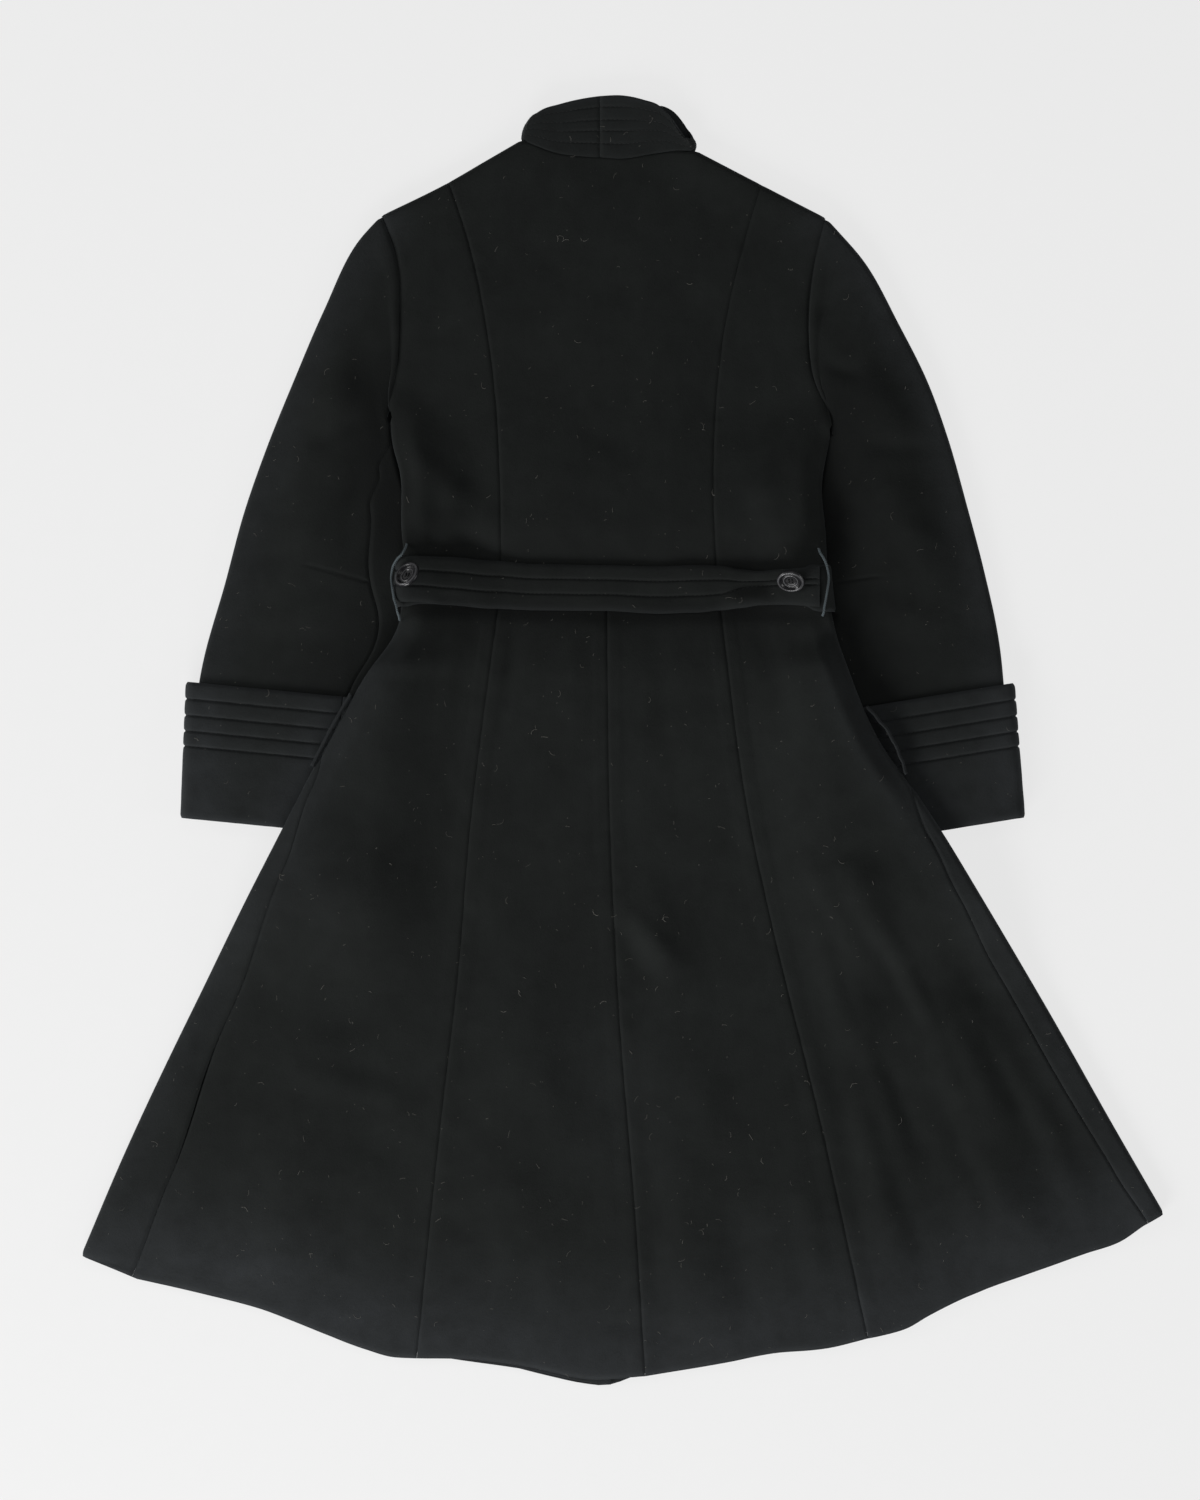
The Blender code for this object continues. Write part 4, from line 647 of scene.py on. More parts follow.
def fold_inset(past_middle, radius=INNER_RADIUS):
    """Distance in from a fold's middle line after a way along its round."""
    way = np.maximum(past_middle, 0.0)
    quarter = radius * math.pi / 2
    turned = radius * (1 - np.cos(np.minimum(way, quarter) / radius))
    return np.where(way < quarter, turned, radius + way - quarter)


def way_past_fold(distance):
    """Way along a fold's round that ends a distance in from its middle line."""
    near = np.arccos(1 - np.minimum(distance, INNER_RADIUS) / INNER_RADIUS) * INNER_RADIUS
    return near + np.maximum(distance - INNER_RADIUS, 0.0)


def wrap_ways(total, quarter, even):
    """Ways round a fold from its lower end: short steps on the round, then even ones up to the seam."""
    steps = np.arange(2 * TURNS + 1)
    keys = np.minimum(steps * quarter / TURNS, total * steps / (2 * TURNS + even))
    return np.concatenate((keys, np.linspace(keys[-1], total, even + 1)[1:]))


def spread(widths, first, last, step):
    """Distances across rows of the given widths: close columns at both edges and even ones between."""
    widths = np.asarray(widths, dtype=float)
    room = first[-1] + last[-1]
    count = max(3, int(round((widths.max() - room) / step)))
    shrink = np.minimum(1.0, widths / (2.0 * room + 1e-9))[:, None]
    start = shrink * first
    end = widths[:, None] - shrink * last[::-1]
    middle = start[:, -1:] + np.linspace(0, 1, count + 1)[1:-1] * (end[:, :1] - start[:, -1:])
    return np.hstack((start, middle, end))


def patch(start, end, top, bottom, across, down):
    """Plan grid between four edge curves, at shares across (rows by columns) and down (rows)."""
    v = down[:, None, None]
    u = across[..., None]
    corners = (1 - v) * ((1 - u) * top[0] + u * top[-1]) + v * ((1 - u) * bottom[0] + u * bottom[-1])
    sides = (1 - u) * along(start, down)[:, None] + u * along(end, down)[:, None]
    return sides + (1 - v) * along(top, across) + v * along(bottom, across) - corners


def panel(start, end, top, bottom, steps, step, row_step=None):
    """Plan grid of a cloth panel, and its rows' shares of the way down.

    steps are its close rows or columns at the start, end, top and bottom.
    """
    length = (length_of(start) + length_of(end)) / 2
    down = spread([length], steps[2], steps[3], row_step or step)[0] / length
    widths = np.linalg.norm(along(end, down) - along(start, down), axis=1)
    across = spread(widths, steps[0], steps[1], step) / widths[:, None]
    return patch(start, end, top, bottom, across, down), down


def between(start, end, shares):
    """Points at shares of the straight line from start to end."""
    return start + shares[:, None] * (end - start)


def raised(plan, heights):
    """Plan points with their heights."""
    return np.concatenate((plan, heights[..., None]), axis=-1)


def rolled(plan, edges, depth=0.42, reach=0.0014):
    """Share of the cloth's thickness, which rolls off softly at its sewn and free edges."""
    return 1 - bell(edge_distance(plan, edges), reach, depth)


def channel_rows(length, grooves, step=0.003):
    """Distances down a quilted piece: close rows at its edges and its stitched rows, even ones between."""
    marks = np.concatenate((SEAM_STEPS[:5], length - SEAM_STEPS[:5]))
    marks = np.concatenate([marks] + [groove * length + GROOVE_STEPS for groove in grooves])
    marks = np.sort(marks)
    rows = [marks[0]]
    for mark in marks[1:]:
        parts = max(1, int(round((mark - rows[-1]) / step)))
        rows += list(np.linspace(rows[-1], mark, parts + 1)[1:])
    return np.array(rows)


def channel_shares(rows, length, grooves, plain=False):
    """Share of the wall's thickness at each row: puffed between stitched rows and drawn in along them."""
    marks = np.concatenate(([0.0], np.asarray(grooves) * length, [length]))
    part = np.clip(np.searchsorted(marks, rows, side="right") - 1, 0, len(marks) - 2)
    share = (rows - marks[part]) / (marks[part + 1] - marks[part])
    puff = np.sqrt(np.clip(np.sin(np.pi * share), 0, 1))
    if plain:
        puff = np.where(part == len(marks) - 2, 0.75 * np.minimum(1.0, share / 0.12) ** 0.5, puff)
    drawn_in = sum(bell(rows - mark, STITCH_DRAW) for mark in marks[1:-1])
    edges = bell(rows, EDGE_ROLL) + bell(length - rows, EDGE_ROLL)
    return 0.80 + 0.20 * puff - 0.36 * drawn_in - 0.36 * edges


# Shader nodes
class Shade:
    """A shader value that takes arithmetic."""

    def __init__(self, finish, socket):
        self.finish = finish
        self.socket = socket

    def join(self, operation, first, second):
        """A Math node on two values."""
        return self.finish.node("Math", {"operation": operation}, {0: first, 1: second})

    def __add__(self, other):
        return self.join("ADD", self, other)

    __radd__ = __add__

    def __sub__(self, other):
        return self.join("SUBTRACT", self, other)

    def __rsub__(self, other):
        return self.join("SUBTRACT", other, self)

    def __mul__(self, other):
        return self.join("MULTIPLY", self, other)

    __rmul__ = __mul__

    def __lt__(self, other):
        return self.join("LESS_THAN", self, other)

    def __gt__(self, other):
        return self.join("GREATER_THAN", self, other)


class Finish:
    """One material and the maker of its nodes."""

    def __init__(self, name):
        self.material = bpy.data.materials.new(name)
        self.material.use_nodes = True
        self.tree = self.material.node_tree
        self.shader = self.tree.nodes["Principled BSDF"]

    def fill(self, node, values):
        """Sets or links a node's sockets."""
        for key, value in values.items():
            socket = node.inputs[key]
            if isinstance(value, Shade):
                self.tree.links.new(value.socket, socket)
            else:
                socket.default_value = value

    def node(self, kind, settings=None, values=None, output=0):
        """A node with its settings, then its sockets' values or links."""
        node = self.tree.nodes.new(f"ShaderNode{kind}")
        for key, value in (settings or {}).items():
            if key == "stops":
                ramp = node.color_ramp
                for element, (position, tone) in zip(ramp.elements, value):
                    element.position = position
                    element.color = (tone, tone, tone, 1.0)
            else:
                setattr(node, key, value)
        self.fill(node, values or {})
        return Shade(self, node.outputs[output])

    def place(self):
        """Object coordinates."""
        return self.node("TexCoord", output="Object")

    def stretched(self, scale):
        """Object coordinates stretched along the axes."""
        return self.node("Mapping", {}, {"Vector": self.place(), "Scale": scale})

    def speckle(self, vector, scale, detail=2.0, roughness=0.6):
        """Noise between about 0 and 1."""
        values = {"Vector": vector, "Scale": scale, "Detail": detail, "Roughness": roughness}
        return self.node("TexNoise", {}, values)

    def ramp(self, value, low, high):
        """0 below low, 1 above high."""
        return self.node("ValToRGB", {"stops": ((low, 0.0), (high, 1.0))}, {0: value})

    def mix(self, factor, first, second):
        """A colour between two colours."""
        return self.node("Mix", {"data_type": "RGBA"}, {0: factor, 6: first, 7: second}, 2)

    def toned(self, factor, colour, low, high):
        """A colour between two tints of one colour."""
        return self.mix(factor, tinted(colour, low), tinted(colour, high))

    def attribute(self, name):
        """A value stored on the mesh."""
        return self.node("Attribute", {"attribute_name": name}, {}, "Fac")

    def bump(self, height, distance, strength):
        """A normal for small relief."""
        return self.node("Bump", {}, {"Height": height, "Distance": distance, "Strength": strength})

    def finished(self, values):
        """The material, with its shader's sockets set or linked."""
        self.fill(self.shader, values)
        return self.material


def tinted(colour, scale):
    """A colour made lighter or darker."""
    return tuple(channel * scale for channel in colour[:3]) + (1.0,)


def felted_wool(colours):
    """Black melton: short felted fibres, a faint nap, cloudy tone, pale lint, worn edges with a painted
    highlight, and painted light and shade from the tone attribute.
    """
    finish = Finish("felted wool")
    where = finish.place()
    fibres = finish.speckle(finish.stretched((1.0, 0.55, 1.0)), 1500.0, 3.0, 0.7)
    felt = finish.speckle(where, 420.0, 4.0, 0.72)
    nap = finish.speckle(finish.stretched((1.0, 0.22, 1.0)), 120.0)
    cloud = finish.speckle(where, 11.0, 3.0, 0.55)
    mottle = finish.speckle(where, 55.0, 3.0, 0.6)
    wear_and_highlight = finish.attribute("wear_and_highlight")
    tone = finish.attribute("tone")
    grain = felt * 0.52 + fibres * 0.34 + nap * 0.22 + cloud * 0.74 + mottle * 0.58 - 0.76
    body = finish.toned(grain, colours.wool, 0.55, 1.45)
    # Painted light where the tone is above zero: hem, outer edges, lighter patches and the collar's shaded
    # inside; cuffs and half belt are lighter too
    lightened = finish.mix(tone * (0.10 + 0.5 * felt + 0.8 * mottle), body, colours.wool_wear_and_light)
    # Painted shade where the tone is below zero: waist, under the belt, sleeves beside the body and darker
    # patches
    shaded = finish.mix(0.0 - tone, lightened, tinted(colours.wool, 0.35))
    # Worn edges, paler with wear and with a painted highlight
    edged = finish.mix(wear_and_highlight * (0.25 + 0.5 * felt), shaded, colours.wool_wear_and_light)
    lint_cells = {"Vector": where, "Scale": 150.0, "Randomness": 1.0}
    lint_near = finish.node("TexVoronoi", {"feature": "F1"}, lint_cells, "Distance")
    lint_pick = finish.node("TexVoronoi", {"feature": "F1"}, lint_cells, "Color")
    lint = (lint_near < 0.062) * finish.ramp(lint_pick, 0.70, 0.74)
    return finish.finished({
        "Base Color": finish.mix(lint * 0.55, edged, colours.lint),
        "Roughness": 0.86 + 0.12 * felt,
        "Specular IOR Level": 0.18,
        "Sheen Weight": colours.sheen,
        "Sheen Roughness": 0.42,
        "Sheen Tint": colours.sheen_tint,
        "Normal": finish.bump(felt * 0.55 + fibres * 0.45, 0.0007, 0.75),
    })


def sewing_thread(colours):
    """Black sewing thread with a twist."""
    finish = Finish("sewing thread")
    twist = finish.node(
        "TexWave", {"bands_direction": "DIAGONAL"},
        {"Vector": finish.place(), "Scale": 900.0, "Distortion": 0.6}, "Fac",
    )
    return finish.finished({
        "Base Color": finish.toned(twist, colours.thread, 0.7, 1.5),
        "Roughness": 0.55 + 0.2 * twist,
        "Specular IOR Level": 0.3,
        "Normal": finish.bump(twist, 0.0002, 0.6),
    })


def polished_button(colours):
    """Dark polished resin with faint streaks, fine wear and paler ring tops, worn and with a painted highlight.
    """
    finish = Finish("polished button")
    streak = finish.speckle(finish.stretched((1.0, 3.0, 1.0)), 160.0, 3.0, 0.6)
    wear = finish.speckle(finish.place(), 900.0)
    wear_and_highlight = finish.attribute("wear_and_highlight")
    dark = finish.toned(streak, colours.button, 0.6, 1.6)
    return finish.finished({
        # Paler ring tops: wear and a painted highlight
        "Base Color": finish.mix(wear_and_highlight * (0.45 + 0.5 * wear), dark, colours.button_wear_and_highlight),
        "Roughness": 0.24 + 0.12 * finish.ramp(wear, 0.45, 0.75),
        "Specular IOR Level": 0.35,
        "Normal": finish.bump(wear, 0.00004, 0.3),
    })


def loop_cord(colours):
    """Twisted grey-blue thread of the belt loops."""
    finish = Finish("loop cord")
    strand = finish.speckle(finish.place(), 1800.0)
    return finish.finished({
        "Base Color": finish.toned(strand, colours.loop, 0.65, 1.35),
        "Roughness": 0.62 + 0.2 * strand,
        "Specular IOR Level": 0.3,
        "Normal": finish.bump(strand, 0.0002, 0.5),
    })


def lint_fibre(colours):
    """Pale stray fibres."""
    finish = Finish("lint fibre")
    change = finish.speckle(finish.place(), 35.0, 1.0, 0.5)
    return finish.finished({
        "Base Color": finish.toned(change, colours.lint, 0.45, 1.25),
        "Roughness": 0.8 + 0.1 * change,
    })


def paper_floor(colours, glow):
    """Pale paper that lights itself a little, so that its shadows stay faint, with painted shade under the
    waist where that glow is taken away.
    """
    finish = Finish("backdrop paper")
    grain = finish.speckle(finish.place(), 60.0, 2.0, 0.5)
    scale = [1.0 / (reach * MM) for reach in COVERED_REACH]
    shift = [-size * spot for size, spot in zip(scale, place(COVERED_MIDDLE))]
    values = {"Vector": finish.place(), "Location": (*shift, 0.0), "Scale": (*scale, 0.0)}
    oval = finish.node("Mapping", {}, values)
    away = finish.node("VectorMath", {"operation": "LENGTH"}, {0: oval}, "Value")
    lit = finish.ramp(away, 0.9, 1.0)
    return finish.finished({
        "Base Color": finish.toned(grain, colours.floor, 0.145, 0.155),
        "Roughness": 0.9,
        "Specular IOR Level": 0.1,
        # Painted shade: no glow in the oval under the waist
        "Emission Color": finish.mix(lit, tinted(colours.floor, 0.02), colours.floor),
        "Emission Strength": glow,
    })


MAKERS = {
    "felted wool": felted_wool,
    "sewing thread": sewing_thread,
    "polished button": polished_button,
    "loop cord": loop_cord,
    "lint fibre": lint_fibre,
}


# Meshes
def mesh_of(grid, name):
    """A smooth mesh from a bmesh."""
    mesh = bpy.data.meshes.new(name)
    grid.to_mesh(mesh)
    grid.free()
    mesh.shade_smooth()
    return mesh


def linked(data):
    """An object of a mesh, light or camera in the scene."""
    item = bpy.data.objects.new(data.name, data)
    bpy.context.scene.collection.objects.link(item)
    return item


def add_piece(coat, mesh, finish):
    """A piece of the coat, at the origin with its place in its mesh, riding on the frame."""
    mesh.materials.append(bpy.data.materials.get(finish) or MAKERS[finish](coat.colours))
    piece = linked(mesh)
    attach(piece, "root")
    return piece


def outward(points, facing):
    """Unit directions out of a grid. facing is (row share, column share, direction) for one place on it."""
    square = np.cross(np.gradient(points, axis=1), np.gradient(points, axis=0))
    square /= np.linalg.norm(square, axis=-1, keepdims=True) + 1e-12
    rows, columns = points.shape[:2]
    middle = square[int(facing[0] * (rows - 1)), int(facing[1] * (columns - 1))]
    return square * np.sign(middle @ facing[2])


def fill_grid(grid, points):
    """Adds a grid to a bmesh and lays it on the points."""
    rows, columns = points.shape[:2]
    made = bmesh.ops.create_grid(grid, x_segments=columns - 1, y_segments=rows - 1, size=1.0)
    for vertex in made["verts"]:
        column = round((vertex.co.x + 1) / 2 * (columns - 1))
        row = round((vertex.co.y + 1) / 2 * (rows - 1))
        vertex.co = points[row, column]
    return made["verts"]


def wool_tone(plan):
    """Tone of the wool: above zero for painted light at the hem and outer edges, below zero for painted shade
    at the waist, with patches of painted light and shade.
    """
    hem = bell(edge_distance(plan, [BACK_HEM]), *PAINTED_HEM_LIGHT)
    sides = bell(edge_distance(plan, OUTER_EDGES), *PAINTED_SIDE_LIGHT)
    down = belt_middle(plan[..., 0]) - plan[..., 1]
    waist = bell(down, *WAIST_SHADE) + bell(down - BELT_SHADE_BELOW, *BELT_SHADE)
    ends = [np.interp(-plan[..., 1], -BODY_OUTLINE[side][:, 1], BODY_OUTLINE[side][:, 0]) for side in SIDES]
    on_body = (plan[..., 0] > ends[0] - 0.003) & (plan[..., 0] < ends[1] + 0.003)
    patches = sum(
        change * np.exp(-(((plan - place(row[:2])) / MM / row[2:]) ** 2).sum(axis=-1))
        for *row, change in LIGHT_AND_SHADE_PATCHES
    )
    return np.maximum(hem, sides) + on_body * (patches - waist)


def set_attribute(mesh, name, values, shape):
    """Stores a value for each point of a grid."""
    attribute = mesh.attributes.new(name, "FLOAT", "POINT")
    attribute.data.foreach_set("value", np.broadcast_to(values, shape).astype(np.float32).ravel())


def outer_face(points, facing, thickness, shares):
    """Outer points of a wall grown from a grid of inner points, and the directions out of it."""
    square = outward(points, facing)
    return points + square * (thickness * np.broadcast_to(shares, points.shape[:2]))[..., None], square


def cloth(coat, node, points, facing, thickness, shares, wear_and_highlight=0.0, darker=0.0):
    """A wool wall grown outward from a grid of inner points, in place of its solid.

    shares scale its thickness over the grid, wear_and_highlight marks its worn edges, paler with wear and a
    painted highlight, and darker takes from its tone: painted shade where it is above zero, lighter wool where
    it is below.
    """
    size = points.shape[:2]
    grid = bmesh.new()
    fill_grid(grid, points)
    face_way = np.cross(points[0, 1] - points[0, 0], points[1, 0] - points[0, 0])
    if face_way @ outward(points, facing)[0, 0] < 0:
        bmesh.ops.reverse_faces(grid, faces=grid.faces)
    mesh = mesh_of(grid, f"{node}_wool")
    set_attribute(mesh, "wear_and_highlight", wear_and_highlight, size)
    set_attribute(mesh, "tone", wool_tone(points[..., :2]) - darker, size)
    piece = add_piece(coat, mesh, "felted wool")
    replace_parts(piece, node)
    group = piece.vertex_groups.new(name="thickness")
    for index, share in enumerate(np.broadcast_to(shares, size).ravel()):
        group.add([index], float(share), "REPLACE")
    solidify = piece.modifiers.new("cloth", "SOLIDIFY")
    solidify.thickness = thickness
    solidify.offset = 1.0
    solidify.vertex_group = group.name
    return piece


def tube(grid, route, radius, sides=6):
    """Adds a round tube along a route to a bmesh."""
    direction = np.gradient(route, axis=0)
    direction /= np.linalg.norm(direction, axis=1)[:, None] + 1e-12
    helper = np.where(np.abs(direction[:, 2:3]) < 0.9, UP, np.array((1.0, 0.0, 0.0)))
    first = np.cross(direction, helper)
    first /= np.linalg.norm(first, axis=1)[:, None]
    second = np.cross(first, direction)
    angles = np.linspace(0.0, math.tau, sides + 1)
    ring = np.cos(angles)[None, :, None] * first[:, None] + np.sin(angles)[None, :, None] * second[:, None]
    fill_grid(grid, route[:, None] + radius * ring)


def close_mesh(grid, name):
    """A smooth mesh from a bmesh, with its seams merged, its ends closed and its faces outward."""
    bmesh.ops.remove_doubles(grid, verts=grid.verts, dist=0.000004)
    open_edges = [edge for edge in grid.edges if edge.is_boundary]
    bmesh.ops.holes_fill(grid, edges=open_edges, sides=0)
    bmesh.ops.recalc_face_normals(grid, faces=grid.faces)
    return mesh_of(grid, name)


def sew(coat, name, wall, rows, grooves):
    """A piece of running stitches along the stitched rows of a wall, sunk a little into its outer face."""
    sizes = coat.sizes
    pitch = sizes.stitch_length + sizes.stitch_gap
    outer, square = outer_face(*wall)
    grid = bmesh.new()
    for groove in grooves:
        row = np.argmin(np.abs(rows - groove))
        route = outer[row]
        count = int(length_of(route) / pitch)
        shares = (np.arange(count) + 0.5) / count
        half = sizes.stitch_length / 2 / length_of(route)
        centres = along(route, shares)
        ahead = along(route, np.clip(shares + half, 0, 1)) - along(route, np.clip(shares - half, 0, 1))
        out = along(np.hstack((route, square[row])), shares)[:, 3:]
        for number, (centre, run, up) in enumerate(zip(centres, ahead, out)):
            x_axis = Vector(run).normalized()
            z_axis = (Vector(up) - x_axis * x_axis.dot(Vector(up))).normalized()
            y_axis = z_axis.cross(x_axis)
            turn = Matrix((x_axis, y_axis, z_axis)).transposed().to_4x4()
            long = sizes.stitch_length / 2 * (1 + 0.12 * math.sin(number * 2.7))
            scale = Matrix.Diagonal((long, sizes.stitch_radius, sizes.stitch_radius * 0.75, 1.0))
            spot = Matrix.Translation(Vector(centre) + z_axis * sizes.stitch_radius * 0.2)
            matrix = spot @ turn @ scale
            bmesh.ops.create_uvsphere(grid, u_segments=6, v_segments=4, radius=1.0, matrix=matrix)
    return add_piece(coat, mesh_of(grid, name), "sewing thread")


def lay_back(coat, node, plan, facing, shares, wear_and_highlight=0.0):
    """A panel of the back on its heights, with its cut."""
    points = raised(plan, back_height(plan, coat.sizes.unevenness))
    cloth(coat, node, points, facing, coat.sizes.cloth_thickness, shares, wear_and_highlight)


# Bodice
def waist_y(shift):
    """Y of the waist seam's edge."""
    return NAPE[1] - WAIST_DOWN * MM + shift


def shoulder_end(side):
    """Share of the shoulder fold where the bodice ends at the armhole."""
    return 1 - ARMHOLE_GAP / 2 / length_of(SHOULDER_FOLD[side])


def shoulder_share(side):
    """Share of the shoulder fold where the princess seam starts."""
    fold = SHOULDER_FOLD[side]
    start = place(BODICE_PRINCESS[side][0])
    reach = reach_of(fold)
    return reach[np.argmin(np.linalg.norm(fold - start, axis=1))] / reach[-1]


def princess_seam(side, turn):
    """Bodice's princess seam, moved out or in by half the seam's gap."""
    start = along(SHOULDER_FOLD[side], np.array([shoulder_share(side)]))
    seam = smooth_curve(np.vstack((start, place(BODICE_PRINCESS[side][1:]))))
    seam[1:, 0] += turn * OUTWARD_X[side] * SEAM_GAP / 2
    seam[-1, 1] = waist_y(SEAM_GAP)
    return seam


def bodice_edge(side):
    """Outer edge of the bodice, from the shoulder down the armhole and the folded side to the waist."""
    armhole = along(ARMHOLE[side], np.linspace(0, 1, 140))
    armhole[:, 0] -= OUTWARD_X[side] * ARMHOLE_GAP / 2
    armhole[0] = along(SHOULDER_FOLD[side], shoulder_end(side))
    reach = reach_of(armhole)
    armhole += ease(reach, reach[-1] - 0.004, reach[-1])[:, None] * (BODY_FOLD[side][0] - armhole[-1])
    edge = np.vstack((armhole, BODY_FOLD[side][1:WAIST_ROW[side] + 1]))
    edge[-1, 1] = waist_y(SEAM_GAP)
    return edge


def bodice_centre_back(coat):
    """Upper back between the princess seams, with the neckline and parts of both shoulders on top."""
    seams = {side: princess_seam(side, -1) for side in SIDES}
    fall = np.linspace(1, 0, 30)
    left = along(SHOULDER_FOLD["left"], shoulder_share("left") * fall)
    right = along(SHOULDER_FOLD["right"], shoulder_share("right") * fall[::-1])
    neck = drawn(NECKLINE)
    neck[:, 1] -= SEAM_GAP / 2
    top = np.vstack((left, neck, right))
    top[0] = seams["left"][0]
    top[-1] = seams["right"][0]
    waist = np.stack((seams["left"][-1], seams["right"][-1]))
    steps = (SEAM_STEPS, SEAM_STEPS, fold_steps(), SEAM_STEPS)
    plan, _ = panel(seams["left"], seams["right"], top, waist, steps, coat.sizes.grid_step)
    shares = rolled(plan, [seams["left"], seams["right"], neck, waist])
    lay_back(coat, "bodice_centre_back", plan, (0.5, 0.5, UP), shares)


def bodice_side_back(coat, side):
    """Side back from the shoulder to the waist, with the armhole and the folded side on its outer edge."""
    outer = bodice_edge(side)
    seam = princess_seam(side, 1)
    share = shoulder_share(side)
    top = along(SHOULDER_FOLD[side], share + (shoulder_end(side) - share) * np.linspace(0, 1, 40))
    top[0] = seam[0]
    top[-1] = outer[0]
    waist = np.stack((seam[-1], outer[-1]))
    steps = (SEAM_STEPS, fold_steps(), fold_steps(), SEAM_STEPS)
    plan, _ = panel(seam, outer, top, waist, steps, coat.sizes.grid_step)
    shares = np.minimum(rolled(plan, [seam, waist]), rolled(plan, [ARMHOLE[side]], 0.65, 0.0028))
    lay_back(coat, f"bodice_side_back_{side}", plan, (0.6, 0.4, UP), shares)


def front_edge(side, downs):
    """The front's free edge at the given distances down."""
    lap = FRONT_LAP_AT_NECK if side == "left" else -FRONT_LAP_AT_NECK
    hem = FRONT_HEM[side][0]
    share = (downs - FRONT_NECK[side][0][1]) / (hem[1] - FRONT_NECK[side][0][1])
    return place(np.stack((lap + share * (hem[0] - lap), downs), axis=1))


def lapped(side, plan, heights):
    """Heights with the left front stepped over the right one, which lies under it."""
    if side == "right":
        return heights
    down = (NAPE[1] - plan[..., 1]) / MM
    edge = front_edge("right", down.ravel())[:, 0].reshape(down.shape)
    return heights + LAP_STEP * ease(plan[..., 0], edge - 0.105, edge - 0.042) * ease(down, *LAP_STARTS_DOWN)


def bodice_front(coat, side):
    """Front above the waist: from its neckline and free edge to the armhole and the folded side."""
    outer = bodice_edge(side)
    neck_down = FRONT_NECK[side][0][1]
    lap_corner = front_edge(side, np.array([neck_down]))
    neck = smooth_curve(np.vstack((SHOULDER_FOLD[side][:1], place(FRONT_NECK[side][::-1]), lap_corner)))
    free = np.vstack((neck, front_edge(side, np.linspace(neck_down, WAIST_DOWN, 80)[1:])))
    free[-1, 1] = waist_y(SEAM_GAP)
    top = along(SHOULDER_FOLD[side], shoulder_end(side) * np.linspace(0, 1, 60))
    top[-1] = outer[0]
    waist = np.stack((free[-1], outer[-1]))
    steps = (SEAM_STEPS, fold_steps(), fold_steps(), SEAM_STEPS)
    plan, _ = panel(free, outer, top, waist, steps, UNDER_STEP)
    points = raised(plan, lapped(side, plan, front_height(plan)))
    shares = rolled(plan, [free, waist, ARMHOLE[side]], 0.3)
    node = f"bodice_front_{side}"
    cloth(coat, node, points, (0.7, 0.4, DOWN), coat.sizes.cloth_thickness, shares)


# Skirt
def skirt_fold(side):
    """Folded middle line of the skirt's side from the waist to the hem, and the directions into the skirt."""
    fold = BODY_FOLD[side][WAIST_ROW[side]:].copy()
    fold[0, 1] = waist_y(-SEAM_GAP)
    return fold, BODY_INWARD[side][WAIST_ROW[side]:]


def seam_ways(side, shares):
    """Way of the side seam past the fold's middle line at shares of the way down."""
    return way_past_fold(np.maximum(table_value(SIDE_SEAM_INSET[side], shares) - WALL, 0.0))


def turned_edge(side, ways_of):
    """Curves along the skirt's side, a way past the fold's middle line at each share of the way down."""
    fold, direction = skirt_fold(side)
    shares = np.linspace(0, 1, len(fold))
    edge = along(fold, shares) + fold_inset(ways_of(shares))[:, None] * direction
    edge[0, 1] = waist_y(-SEAM_GAP)
    return edge


def skirt_seam(rows, shift):
    """Sewn edge of a back gore from the waist to the hem, moved across by half the seam's gap."""
    seam = drawn(rows)
    seam[:, 0] += shift
    seam[0, 1] = waist_y(-SEAM_GAP)
    return seam


def hem_roll(plan, hem, sewn):
    """Thickness shares of a skirt panel: sewn edges drawn in, and a rounder hem."""
    return np.minimum(rolled(plan, sewn), rolled(plan, [hem], 0.5, 0.0024))


def hem_wear_and_highlight(plan, hem):
    """Share of a skirt panel that is paler at its hem, with wear and a painted highlight."""
    return bell(edge_distance(plan, [hem]), HEM_WEAR_AND_HIGHLIGHT)


def skirt_centre_back(coat, side):
    """Back gore between the centre back seam and a princess seam."""
    turn = OUTWARD_X[side] * SEAM_GAP / 2
    centre = skirt_seam(CENTRE_BACK, turn)
    seam = skirt_seam(SKIRT_PRINCESS[side], -turn)
    waist = np.stack((centre[0], seam[0]))
    hem = smooth_curve(np.vstack((centre[-1:], place(CENTRE_BACK_HEM[side]), seam[-1:])))
    plan, _ = panel(centre, seam, waist, hem, (SEAM_STEPS,) * 4, coat.sizes.grid_step)
    shares = hem_roll(plan, hem, [centre, seam, waist])
    lay_back(coat, f"skirt_centre_back_{side}", plan, (0.5, 0.5, UP), shares, hem_wear_and_highlight(plan, hem))


def skirt_side_back(coat, side):
    """Back gore between a princess seam and the side seam."""
    seam = skirt_seam(SKIRT_PRINCESS[side], OUTWARD_X[side] * SEAM_GAP / 2)
    turns = []
    for part in np.linspace(1, 0, TURNS + 1):
        past_seam = SIDE_SEAM_GAP / 2 + part * QUARTER
        turns.append(turned_edge(side, lambda shares, past=past_seam: seam_ways(side, shares) + past))
    flat_end = turns[0]
    waist = np.stack((seam[0], flat_end[0]))
    hem = smooth_curve(np.vstack((seam[-1:], place(SIDE_BACK_HEM[side]), flat_end[-1:])))
    steps = (SEAM_STEPS, (0.0, 0.003), SEAM_STEPS, SEAM_STEPS)
    plan, down = panel(seam, flat_end, waist, hem, steps, coat.sizes.grid_step)
    plan = np.concatenate([plan] + [along(turn, down)[:, None] for turn in turns[1:]], axis=1)
    whole_hem = np.vstack((hem, turns[-1][-1:]))
    shares = hem_roll(plan, whole_hem, [seam, waist, turns[-1]])
    lay_back(coat, f"skirt_side_back_{side}", plan, (0.5, 0.3, UP), shares, hem_wear_and_highlight(plan, whole_hem))


